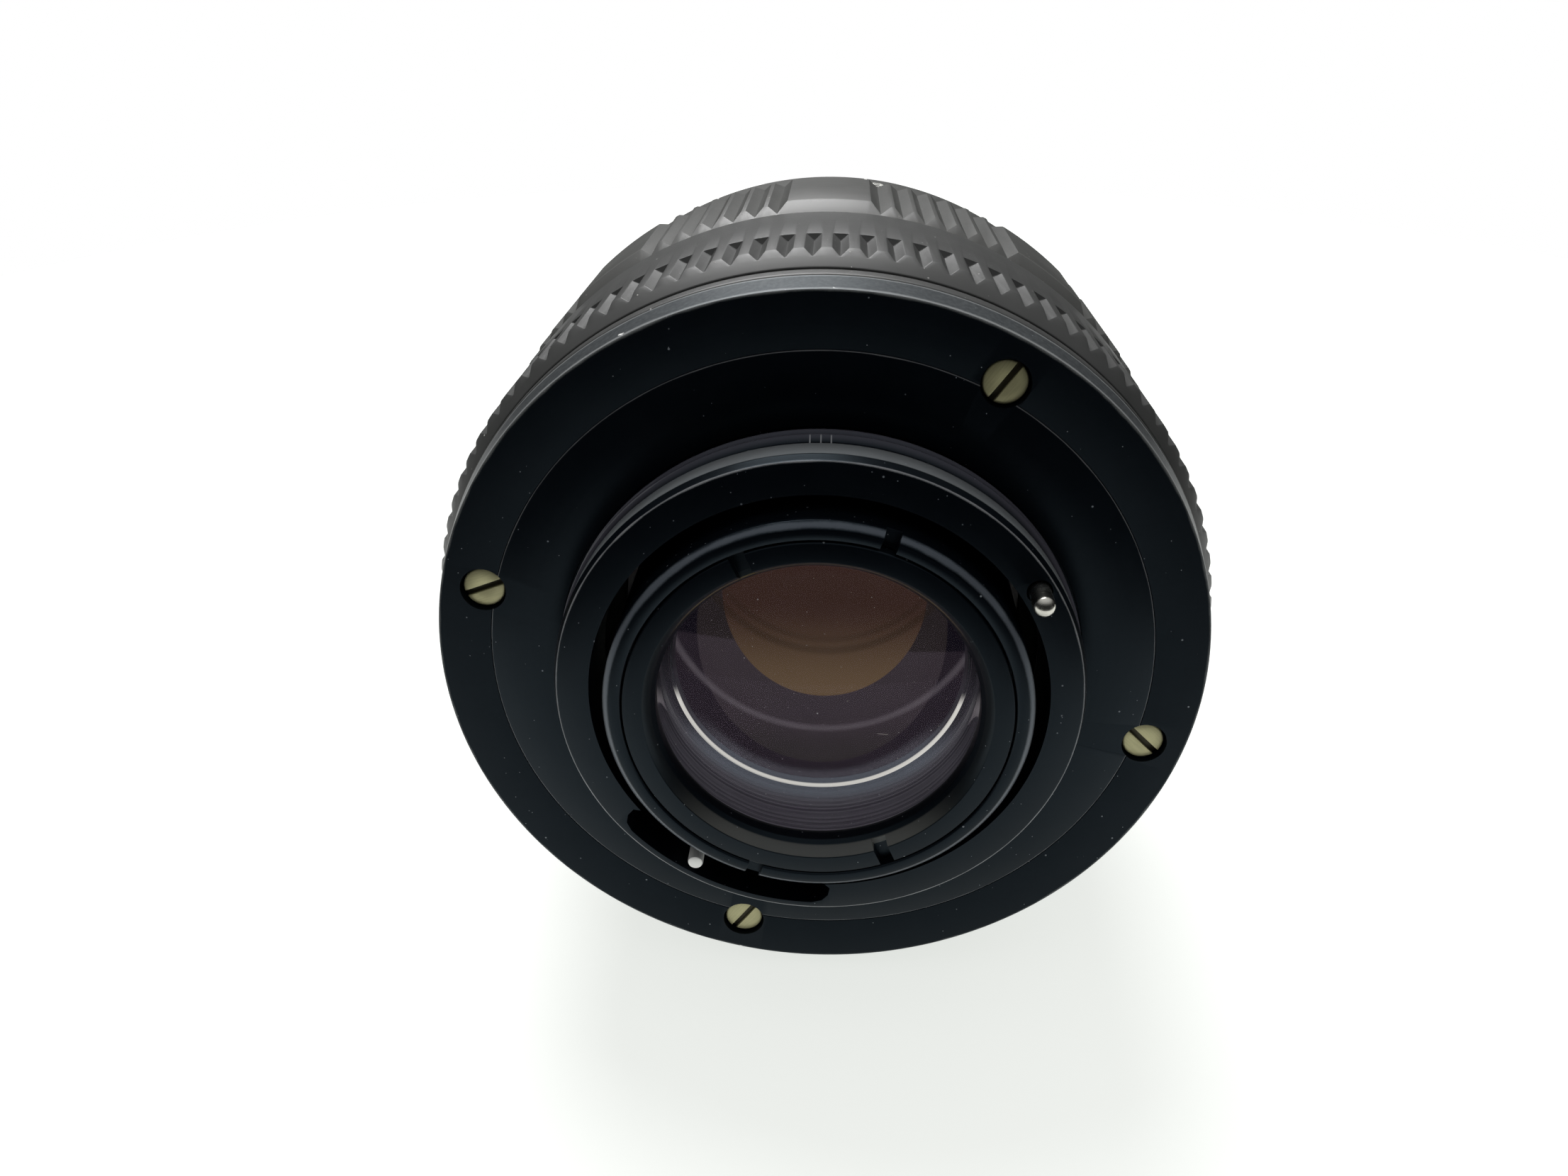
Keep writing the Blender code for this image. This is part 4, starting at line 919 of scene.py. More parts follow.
    @classmethod
    def dress(cls, piece: bpy.types.Object, surface: bpy.types.Material, body: str,
              slot: Slot, *nodes: str, smooth: float = 30.0) -> None:
        """Give a piece its finish and body, and say which CAD nodes it stands for.

        Args:
            piece: The piece.
            surface: Its material.
            body: The body it rides on.
            slot: Its material slot in the record; not used.
            nodes: The CAD nodes it replaces.
            smooth: Edges flatter than this angle are shaded smooth.
        """
        cls.take(piece)
        bpy.ops.object.shade_smooth_by_angle(angle=math.radians(smooth))
        cls.clear()
        piece.data.materials.clear()
        piece.data.materials.append(surface)
        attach(piece, body)
        if nodes:
            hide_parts(*nodes)
        LOG.info("%s rides on %s, %d faces", piece.name, body, len(piece.data.polygons))


def polar(radius: float, degrees: float) -> tuple[float, float]:
    """A point (x, z) at a radius and an angle round the axis."""
    angle = math.radians(degrees)
    return radius * math.cos(angle), radius * math.sin(angle)


def arc(radius: float, start: float, end: float, steps: int) -> Points:
    """Points (x, z) along an arc."""
    return [polar(radius, start + (end - start) * step / steps) for step in range(steps + 1)]


def bar(centre: tuple[float, float], length: float, width: float, degrees: float) -> Points:
    """Work out the corners of a straight bar.

    Args:
        centre: Its middle, as (x, z).
        length: Its length.
        width: Its width.
        degrees: The angle it lies at.

    Returns:
        The four corners.
    """
    turn = math.radians(degrees)
    corners = []
    for along, across in ((-1, -1), (1, -1), (1, 1), (-1, 1)):
        a, b = along * length / 2, across * width / 2
        corners.append((centre[0] + a * math.cos(turn) - b * math.sin(turn),
                        centre[1] + a * math.sin(turn) + b * math.cos(turn)))
    return corners


# ---- sub-assemblies ---------------------------------------------------------------------------------
@dataclass
class Mount:
    """Screwed mount plate with its thread, the four screws, and the housing behind it."""

    bore: float = 17.9
    height: float = 5.2
    pilot: float = 20.75
    crest: float = 21.0
    root: float = 20.55
    pitch: float = 1.0
    plate: float = 26.85
    thickness: float = 2.0
    screw_ring: float = 27.8
    screw_head: float = 1.68
    screw_angles: tuple[float, ...] = (62.0, 165.6, 256.3, 347.2)
    screw_slots: tuple[float, ...] = (54.0, 21.0, 54.0, 136.0)
    pin_angle: float = 33.2
    pin_ring: float = 19.25
    slot_angles: tuple[float, float] = (-145.0, -86.0)
    slot_radius: float = 19.9
    flange: float = 31.15
    flare: float = 31.58
    index_radius: float = 31.65
    tube: float = 28.4

    def slot_outline(self) -> Points:
        """Outline the lever's slot, which is rounded at both ends.

        Returns:
            Its corners, as (x, z).
        """
        inner, outer = self.bore - 1.0, self.slot_radius
        middle, half = (inner + outer) / 2, (outer - inner) / 2
        turn = math.degrees(half / middle)
        start, stop = self.slot_angles[0] + turn, self.slot_angles[1] - turn
        ends = []
        for angle, base, swings in ((stop, stop + turn, (30.0, 60.0, 90.0)),
                                    (start, start - turn, (-90.0, -60.0, -30.0))):
            x, z = polar(middle, angle)
            tips = [polar(half, base + swing) for swing in swings]
            ends.append([(x + tip[0], z + tip[1]) for tip in tips])
        return arc(outer, start, stop, 40) + ends[0] + arc(inner, stop, start, 40) + ends[1]

    def recesses(self, name: str) -> list[bpy.types.Object]:
        """Cutters of the screw recesses."""
        return [Bench.rod(f"{name}_{number}", self.screw_head + 0.17, -1.0, 1.5,
                          polar(self.screw_ring, angle))
                for number, angle in enumerate(self.screw_angles)]

    def build_plate(self) -> None:
        """Turn the plate, weld its helical thread on, and cut its slot and holes."""
        end = -self.height
        section = [(self.bore, end), (self.pilot - 0.45, end), (self.pilot - 0.28, end + 0.08),
                   (self.pilot - 0.22, end + 0.3), (self.pilot - 0.03, end + 0.72),
                   (self.pilot, end + 0.8), (self.pilot, -2.42), (self.root, -2.25),
                   (self.root, 0.25), (self.crest + 0.15, 0.25), (self.crest + 0.15, 0.03),
                   (self.crest + 0.18, 0.0), (self.plate - 0.03, 0.0), (self.plate, 0.03),
                   (self.plate, self.thickness), (self.bore, self.thickness)]
        plate = Bench.turned("mount_plate_turned", section, 192)
        tooth = [Vector((self.root - 0.25, -2.42, 0)), Vector((self.root - 0.02, -2.42, 0)),
                 Vector((self.crest, -2.02, 0)), Vector((self.crest, -1.88, 0)),
                 Vector((self.root - 0.02, -1.5, 0)), Vector((self.root - 0.25, -1.5, 0))]
        thread = Bench.draw("thread", tooth)
        Bench.sweep(thread, self.pitch, 2, 144)
        Bench.combine(plate, thread, union=True)
        slot = Bench.prism("slot", self.slot_outline(), end - 1.0, self.thickness + 1.0)
        hole = Bench.rod("pin_hole", 0.97, end - 1.0, self.thickness + 1.0,
                         polar(self.pin_ring, self.pin_angle))
        Bench.combine(plate, slot, hole, *self.recesses("plate_recess"))
        Bench.round_edges(plate, 0.04, 40.0, 1)
        finish = MountFinish("mount_paint", (0.0012, 0.0022, 0.0042), (0.0028, 0.0042, 0.0065),
                             roughness=0.32, specular=0.18, sheen_tint=COLD, turning=0.12,
                             grain=0.14, dust=0.045, dust_colour=(0.3, 0.33, 0.37),
                             bare=(0.5, 0.51, 0.53),
                             edges=(Edge(self.pilot - 0.25, end + 0.05, 0.16, 0.5),
                                    Edge(self.crest, -0.5, 0.1, 0.5), Edge(self.crest, -1.45, 0.1, 0.3),
                                    Edge(self.plate, 0.0, 0.1, 0.3)))
        Bench.dress(plate, finish.material(), Body.HOUSING, Slot.PAINT, "mount_plate")

    def build_screws(self) -> None:
        """Slotted cheese-head screws, each turned to its own slot angle."""
        top = 0.4
        for number, (angle, turn) in enumerate(zip(self.screw_angles, self.screw_slots), start=1):
            centre = polar(self.screw_ring, angle)
            head = self.screw_head
            section = [(0.0, top - 0.02), (head * 0.6, top), (head - 0.14, top + 0.02),
                       (head - 0.04, top + 0.07), (head, top + 0.17), (head, top + 0.9),
                       (0.8, top + 0.9), (0.8, top + 1.1)]
            for ridge in range(5):
                y = top + 1.15 + ridge * 0.38
                section += [(0.8, y), (0.68, y + 0.19)]
            section += [(0.5, top + 3.1), (0.0, top + 3.1)]
            screw = Bench.turned(f"mount_screw_{number}_turned", section, 48, centre)
            slot = Bench.prism("slot", bar(centre, 4.0, 0.52, turn), top - 1.0, top + 0.42)
            Bench.combine(screw, slot)
            Bench.round_edges(screw, 0.03, 40.0)
            finish = ScrewFinish(f"screw_brass_{number}", (0.58, 0.55, 0.31), (0.42, 0.4, 0.23),
                                 roughness=0.48, metallic=0.5, turning=0.1, grain=0.35, dust=0.03,
                                 centre=centre, slot=turn)
            Bench.dress(screw, finish.material(), Body.HOUSING, Slot.SCREW, f"mount_screw_{number}")

    def build_housing(self) -> None:
        """Housing with its flared side band, and the index ring."""
        seat, inner = self.plate + 0.04, self.tube - 1.1
        section = [(seat, 0.03), (seat + 0.03, 0.0), (self.flange - 0.06, 0.0),
                   (self.flange + 0.02, 0.05), (self.flange + 0.1, 0.35), (self.flare - 0.06, 2.2),
                   (self.flare, 2.42), (self.flare - 0.08, 2.5), (29.2, 2.5), (29.2, 3.97),
                   (self.tube, 3.97), (self.tube, 20.6),
                   (inner, 20.6), (inner, 4.2), (25.0, 4.2), (25.0, 2.2), (seat, 2.2)]
        housing = Bench.turned("rear_housing_turned", section, 192)
        shanks = [Bench.rod(f"shank_{number}", 1.0, -1.0, 3.7, polar(self.screw_ring, angle))
                  for number, angle in enumerate(self.screw_angles)]
        Bench.combine(housing, *self.recesses("housing_recess"), *shanks)
        Bench.round_edges(housing, 0.03, 45.0, 1)
        finish = BandFinish("band_worn", (0.0014, 0.0025, 0.0045), (0.003, 0.0045, 0.007),
                            roughness=0.4, specular=0.15, sheen_tint=COLD, turning=0.12,
                            grain=0.14, dust=0.05, dust_colour=(0.32, 0.35, 0.38),
                            bare=(0.3, 0.31, 0.31),
                            edges=(Edge(self.flange + 0.05, 0.12, 0.28, 0.6),
                                   Edge(self.flare - 0.02, 2.42, 0.2, 0.5)))
        Bench.dress(housing, finish.material(), Body.HOUSING, Slot.WORN, "rear_housing")
        top = self.index_radius
        section = [(29.4, 2.62), (top - 0.1, 2.62), (top - 0.03, 2.69), (top, 2.8), (top, 3.94),
                   (top - 0.03, 4.05), (top - 0.1, 4.12), (29.4, 4.12)]
        ring = Bench.turned("index_ring_turned", section, 192)
        Bench.dress(ring, ANODISED.material(), Body.HOUSING, Slot.ANODISED, "index_ring")

    def build_index(self) -> None:
        """Set the line that the aperture numbers are read against."""
        marks = Scale("aperture_index", self.index_radius, 2.0)
        marks.line(INDEX_ANGLE, 2.85, 3.9, 0.6)
        marks.dress(Body.HOUSING)


@dataclass
class ApertureRing:
    """Aperture ring with a hundred V notches, and its numbers."""

    rear: float = 4.27
    front: float = 20.7
    bore: float = 28.7
    radius: float = 32.8
    notches: int = 100
    depth: float = 0.5
    notch_end: float = 11.3
    stops: tuple[str, ...] = ("2", "2.8", "4", "5.6", "8", "11", "16")
    stop_turn: float = 10.0

    def build(self) -> None:
        """Turn the ring, cut its notches and set the numbers on its smooth band."""
        outer = self.radius
        section = [(self.bore, self.rear), (outer - 1.1, self.rear), (outer - 1.04, self.rear + 0.03),
                   (outer - 0.5, self.rear + 0.9), (outer - 0.06, self.rear + 1.6),
                   (outer, self.rear + 1.78), (outer, self.front - 0.5), (outer - 0.1, self.front - 0.2),
                   (outer - 0.32, self.front - 0.02), (outer - 0.4, self.front), (self.bore, self.front)]
        ring = Bench.turned("aperture_ring_turned", section, 300)
        floor, over, spread = outer - self.depth, 0.9, 1.12
        step = 180.0 / self.notches
        corners = []
        for radius, side in ((floor, 0.0), (floor + over, spread), (floor + over, -spread)):
            turn = math.degrees(side / radius) + step
            corners.append(polar(radius, turn))
        cutter = Bench.draw("notches", [Vector((x, self.rear - 1.0, z)) for x, z in corners])
        bpy.ops.mesh.edge_face_add()
        move = {"value": (0, (self.notch_end - self.rear + 1.0) * MM, 0)}
        bpy.ops.mesh.extrude_region_move(TRANSFORM_OT_translate=move)
        top = self.notch_end
        Bench.pick(cutter,
                   lambda place: place.y > top - 1e-3 and math.hypot(place.x, place.z) < outer)
        bpy.ops.transform.translate(value=(0, -0.3 * MM, 0))
        Bench.copy_round(self.notches)
        Bench.finish_mesh()
        Bench.combine(ring, cutter)
        Bench.round_edges(ring, 0.05, 28.0)
        finish = Finish("aperture_anodised", (0.045, 0.046, 0.045), (0.058, 0.059, 0.058),
                        roughness=0.44, specular=0.4, turning=0.08, grain=0.42, dust=0.05,
                        bare=(0.3, 0.3, 0.29), edges=(Edge(outer - 0.2, self.front - 0.1, 0.2, 0.3),))
        Bench.dress(ring, finish.material(), Body.APERTURE, Slot.ANODISED, "aperture_ring", smooth=24.0)
        marks = Scale("aperture_numbers", outer, 2.6)
        for number, text in enumerate(self.stops):
            angle = INDEX_ANGLE - number * self.stop_turn
            marks.number(text, angle, 15.4)
            marks.line(angle, 12.0, 13.3)
        marks.dress(Body.APERTURE)


@dataclass
class FocusRing:
    """Focus ring with ten lands, six ribs between each two, set screws and a distance scale."""

    rear: float = 21.0
    front: float = 44.0
    bore: float = 28.7
    front_bore: float = 29.9
    lip: float = 27.9
    land: float = 33.33
    neck: float = 32.35
    scale: float = 32.15
    grip_front: float = 36.3
    lands: int = 10
    land_angle: float = 90.1
    ribs: int = 6
    rib_pitch: float = 3.4
    land_half: float = 6.2
    crest: float = 33.15
    valley: float = 32.62
    crest_half: float = 0.32
    screw_angles: tuple[float, ...] = (190.0, 310.0, 70.0)
    screw_y: float = 38.4
    focal: float = 55.0
    travel: float = 8.5
    turn: float = 270.0
    metres: tuple[float, ...] = (0.45, 0.5, 0.6, 0.8, 1, 1.5, 2, 3, 5)

    def build(self) -> None:
        """Turn the ring, cut the grooves and the screw holes."""
        bevel = self.land - self.scale
        section = [(self.bore, self.rear), (self.neck - 0.1, self.rear), (self.neck, self.rear + 0.1),
                   (self.land - 0.06, self.rear + 2.2), (self.land, self.rear + 2.4),
                   (self.land, self.grip_front - bevel - 0.1), (self.land - 0.04, self.grip_front - bevel),
                   (self.scale, self.grip_front), (self.scale, self.front - 0.6),
                   (self.scale - 0.12, self.front - 0.25), (self.scale - 0.5, self.front),
                   (self.lip, self.front), (self.lip, self.front - 1.5),
                   (self.front_bore, self.front - 1.5), (self.front_bore, 34.6), (self.bore, 34.6)]
        ring = Bench.turned("focus_ring_turned", section, 320)
        Bench.combine(ring, Bench.prism("ribs", self.rib_outline(), self.rear - 1.0,
                                        self.grip_front + 1.0, self.lands))
        for angle in self.screw_angles:
            Bench.combine(ring, self.radial(f"hole_{angle:.0f}", 0.85, self.front_bore - 1.0,
                                            self.scale + 1.0, angle))
        Bench.round_edges(ring, 0.05, 28.0)
        finish = Finish("focus_anodised", (0.055, 0.056, 0.053), (0.07, 0.071, 0.068), roughness=0.44,
                        specular=0.5, turning=0.08, grain=0.42, dust=0.05, bare=(0.35, 0.35, 0.33),
                        edges=(Edge(self.land, self.rear + 2.35, 0.1, 0.15),
                               Edge(self.scale - 0.3, self.front - 0.2, 0.25, 0.35)))
        Bench.dress(ring, finish.material(), Body.FOCUS, Slot.ANODISED, "focus_ring", smooth=24.0)
        self.build_screws()
        self.build_scale()

    def rib_outline(self) -> Points:
        """Outline the cutter of the ribs between two lands.

        Returns:
            A zigzag, closed outside the ring, as (x, z).
        """
        middle = self.land_angle + 180.0 / self.lands
        first = self.land_angle + self.land_half
        last = self.land_angle + 360.0 / self.lands - self.land_half
        outline = [polar(self.land + 0.2, first - 0.4), polar(self.land, first)]
        for rib in range(self.ribs + 1):
            angle = middle + (rib - self.ribs / 2) * self.rib_pitch
            outline.append(polar(self.valley, angle))
            if rib < self.ribs:
                peak = angle + self.rib_pitch / 2
                outline.append(polar(self.crest, peak - self.crest_half))
                outline.append(polar(self.crest, peak + self.crest_half))
        outline += [polar(self.land, last), polar(self.land + 0.2, last + 0.4)]
        return outline + arc(self.land + 1.2, last + 0.4, first - 0.4, 6)

    def radial(self, name: str, radius: float, inner: float, outer: float,
               angle: float) -> bpy.types.Object:
        """Add a cylinder that points away from the axis.

        Args:
            name: Name of the piece.
            radius: Its own radius.
            inner: Where it starts, from the axis.
            outer: Where it ends.
            angle: Its angle round the axis.

        Returns:
            The cylinder.
        """
        Bench.clear()
        x, z = polar((inner + outer) / 2, angle)
        turn = (0.0, math.pi / 2 - math.radians(angle), 0.0)
        bpy.ops.mesh.primitive_cylinder_add(vertices=32, radius=radius * MM, rotation=turn,
                                            depth=(outer - inner) * MM,
                                            location=Vector((x, self.screw_y, z)) * MM)
        piece = bpy.context.object
        piece.name = name
        bpy.ops.object.transform_apply(location=True, rotation=True, scale=True)
        return piece

    def build_screws(self) -> None:
        """Slotted grub screws that hold the ring on the helicoid."""
        for number, angle in enumerate(self.screw_angles, start=1):
            screw = self.radial(f"focus_set_screw_{number}_turned", 0.7, self.front_bore + 0.05,
                                self.scale - 0.15, angle)
            x, z = polar(self.scale, angle)
            Bench.clear()
            bpy.ops.mesh.primitive_cube_add(size=MM, location=Vector((x, self.screw_y, z)) * MM,
                                            rotation=(0.0, -math.radians(angle), 0.0),
                                            scale=(1.0, 3.0, 0.22))
            slot = bpy.context.object
            bpy.ops.object.transform_apply(location=True, rotation=True, scale=True)
            Bench.combine(screw, slot)
            Bench.round_edges(screw, 0.04, 40.0)
            Bench.dress(screw, STEEL.material(), Body.FOCUS, Slot.STEEL, f"focus_set_screw_{number}")

    def build_scale(self) -> None:
        """Distances in metres, each where the helicoid's travel puts it."""
        marks = Scale("distance_numbers", self.scale, 2.3)
        marks.infinity(INDEX_ANGLE, 41.2)
        for distance in self.metres:
            extension = self.focal ** 2 / (distance / MM - self.focal)
            angle = INDEX_ANGLE - self.turn * extension / self.travel
            marks.number(f"{distance:g}", angle, 40.2)
            marks.line(angle, 42.2, 43.2)
        marks.dress(Body.FOCUS)


class Scale:
    """Numbers and lines set on a round surface, gathered into one piece."""

    thickness = 0.05

    def __init__(self, name: str, radius: float, height: float) -> None:
        """Start with no marks.

        Args:
            name: Name of the finished piece.
            radius: Radius of the surface.
            height: Height of the numbers.
        """
        self.name, self.radius, self.height = name, radius, height
        self.parts: list[bpy.types.Object] = []

    def wrap(self, piece: bpy.types.Object, angle: float, y: float, turn: bool = False) -> None:
        """Lay a flat mesh round the surface.

        Args:
            piece: The mesh.
            angle: Angle of its middle.
            y: Place of its middle along Y.
            turn: Turn it by a quarter first.
        """
        for vert in piece.data.vertices:
            across, up, out = vert.co / MM
            if turn:
                across, up = up, -across
            swing = math.radians(angle) - across / self.radius
            radius = self.radius - self.thickness / 2 + out
            vert.co = Vector((radius * math.cos(swing), y + up, radius * math.sin(swing))) * MM
        self.parts.append(piece)

    def letter(self, text: str, height: float) -> bpy.types.Object:
        """Model a solid flat text, centred on the origin.

        Args:
            text: What it says.
            height: Height of its figures.

        Returns:
            The text as a mesh.
        """
        Bench.clear()
        bpy.ops.object.text_add()
        piece = bpy.context.object
        piece.data.body = text
        piece.data.size = height * 1.35 * MM
        piece.data.align_x = "CENTER"
        piece.data.align_y = "CENTER"
        piece.data.resolution_u = 5
        piece.data.extrude = self.thickness * MM
        bpy.ops.object.convert(target="MESH")
        return bpy.context.object

    def number(self, text: str, angle: float, y: float) -> None:
        """Add a number whose middle is at an angle."""
        self.wrap(self.letter(text, self.height), angle, y)

    def infinity(self, angle: float, y: float) -> None:
        """Add the infinity sign, an 8 on its side."""
        self.wrap(self.letter("8", self.height), angle, y, turn=True)

    def line(self, angle: float, rear: float, front: float, width: float = 0.28) -> None:
        """Add a line along Y.

        Args:
            angle: Its angle.
            rear: Where it starts along Y.
            front: Where it ends.
            width: Its width.
        """
        Bench.clear()
        bpy.ops.mesh.primitive_cube_add(size=MM, scale=(width, front - rear, 2 * self.thickness))
        bpy.ops.object.transform_apply(location=True, rotation=True, scale=True)
        self.wrap(bpy.context.object, angle, (rear + front) / 2)

    def dress(self, body: Body, colour: Colour = (0.72, 0.72, 0.68)) -> None:
        """Join the marks, turn their faces outwards and give them their paint.

        Args:
            body: The body that the marks ride on.
            colour: Colour of the paint.
        """
        Bench.take(self.parts[0])
        for part in self.parts[1:]:
            part.select_set(True)
        if len(self.parts) > 1:
            bpy.ops.object.join()
        piece = bpy.context.object
        piece.name = piece.data.name = self.name
        bpy.ops.object.mode_set(mode="EDIT")
        Bench.finish_mesh()
        Bench.dress(piece, Ink(f"{self.name}_ink", colour).material(), body, Slot.ANODISED)


@dataclass
class RearGroup:
    """Rear cell, the ring that holds the rear element, and the rear glass."""

    cell: float = 16.6
    end: float = -7.0
    thread: float = 15.15
    ring: float = 15.03
    bore: float = 13.45
    notch: float = 1.2
    notch_depth: float = 0.9
    cell_notch: float = 71.5
    ring_notch: float = 113.4

    def notches(self, outer: float, inner: float, angle: float) -> list[bpy.types.Object]:
        """Model the cutters of two opposite spanner notches.

        Args:
            outer: Outer radius of the ring.
            inner: Inner radius of the ring.
            angle: Angle of the first notch.

        Returns:
            The two cutters.
        """
        tools = []
        for turn in (0.0, 180.0):
            centre = polar((outer + inner) / 2, angle + turn)
            tools.append(Bench.prism("notch", bar(centre, outer - inner + 1.0, self.notch, angle),
                                     self.end - 1.0, self.end + self.notch_depth))
        return tools

    def build(self) -> None:
        """Turn the cell with its grooved bore, and the retaining ring."""
        end = self.end
        section = [(self.thread, end + 0.12), (self.thread + 0.1, end), (self.cell - 0.6, end),
                   (self.cell - 0.5, end + 0.05), (self.cell - 0.04, end + 0.45), (self.cell, end + 0.55),
                   (self.cell, 13.0), (13.7, 13.0), (13.7, 14.5), (11.5, 14.5), (11.5, 9.0),
                   (12.15, 9.0), (12.15, 1.25), (12.2, 1.05), (12.33, 0.98), (12.46, 1.1),
                   (12.52, 1.4), (13.02, 1.5)]
        for ridge in range(12):
            y = 1.3 - ridge * 0.46
            section += [(13.12, y), (13.02, y - 0.23)]
        section += [(13.12, -4.45), (self.thread, -4.5)]
        cell = Bench.turned("rear_cell_turned", section, 192)
        Bench.combine(cell, *self.notches(self.cell, self.thread, self.cell_notch))
        Bench.round_edges(cell, 0.04, 40.0, 1)
        finish = CellFinish("cell_paint", (0.0015, 0.0025, 0.0045), (0.003, 0.0045, 0.007),
                            roughness=0.3, specular=0.18, sheen_tint=COLD, turning=0.15,
                            grain=0.15, dust=0.06, dust_colour=(0.34, 0.37, 0.4),
                            bare=(0.16, 0.18, 0.21),
                            edges=(Edge(self.cell - 0.28, end + 0.25, 0.36, 0.65),))
        Bench.dress(cell, finish.material(), Body.BLOCK, Slot.PAINT, "rear_cell")
        section = [(self.bore, end + 0.03), (self.bore + 0.05, end), (self.ring - 0.1, end),
                   (self.ring, end + 0.1), (self.ring, end + 2.4), (12.6, end + 2.4),
                   (12.6, end + 1.3), (12.9, end + 0.95), (12.93, end + 0.88)]
        ring = Bench.turned("rear_retaining_ring_turned", section, 192)
        Bench.combine(ring, *self.notches(self.ring, self.bore - 0.6, self.ring_notch))
        Bench.round_edges(ring, 0.03, 40.0, 1)
        finish = BevelFinish("retaining_paint", (0.0015, 0.0025, 0.0045), (0.003, 0.0045, 0.007),
                             roughness=0.34, specular=0.18, sheen_tint=COLD, turning=0.1,
                             grain=0.2, dust=0.06, dust_colour=(0.34, 0.37, 0.4),
                             edges=(Edge(12.6, end + 2.3, 0.2, 0.05),))
        Bench.dress(ring, finish.material(), Body.BLOCK, Slot.PAINT, "rear_retaining_ring")


@dataclass(frozen=True)
class Element:
    """One lens element: its radius and the (centre, rim) places of its two faces."""

    node: str
    radius: float
    rear: tuple[float, float]
    front: tuple[float, float]
    steps: int = 16
    facets: int = 128

    def face(self, centre: float, rim: float) -> Points:
        """Work out a spherical face.

        Args:
            centre: Place of its middle along Y.
            rim: Place of its rim.

        Returns:
            Points (radius, y) from the axis to the rim.
        """
        height = rim - centre
        sphere = (self.radius ** 2 + height ** 2) / (2 * abs(height))
        points = []
        for step in range(self.steps + 1):
            radius = self.radius * step / self.steps
            depth = sphere - math.sqrt(sphere ** 2 - radius ** 2)
            points.append((radius, centre + math.copysign(depth, height)))
        return points

    def build(self, surface: bpy.types.Material) -> None:
        """Turn the element and polish it."""
        section = self.face(*self.rear) + self.face(*self.front)[::-1]
        piece = Bench.turned(f"{self.node}_turned", section, self.facets)
        Bench.dress(piece, surface, Body.BLOCK, Slot.GLASS, self.node)


def build_glass() -> None:
    """Build the six elements, from the rear one to the front one."""
    rear = ClearGlass("glass_rear", 12.9, (0.3, 0.24, 0.34), mirror=0.12, rim=0.0)
    iris = ClearGlass("glass_iris", 12.0, (0.36, 0.3, 0.42), mirror=0.6, dust=0.04)
    inner = ClearGlass("glass_inner", 15.4, (0.5, 0.42, 0.26), mirror=0.6, dust=0.03)
    front = ClearGlass("glass_front", 18.4, (0.42, 0.32, 0.56), mirror=0.8)
    for element, glass in ((Element("lens_6_rear", 12.9, (-5.9, -4.4), (0.3, -1.2)), rear),
                           (Element("lens_5", 12.0, (0.6, 1.8), (7.2, 4.6)), DeepGlass("glass_depth")),
                           (Element("lens_4", 12.0, (7.4, 4.8), (8.9, 8.8)), iris),
                           (Element("lens_3", 15.4, (24.3, 22.2), (25.6, 24.6)), inner),
                           (Element("lens_2", 15.4, (25.8, 24.8), (30.6, 28.2)), inner),
                           (Element("lens_1_front", 18.4, (32.2, 30.8), (38.2, 35.2)), front)):
        element.build(glass.material())


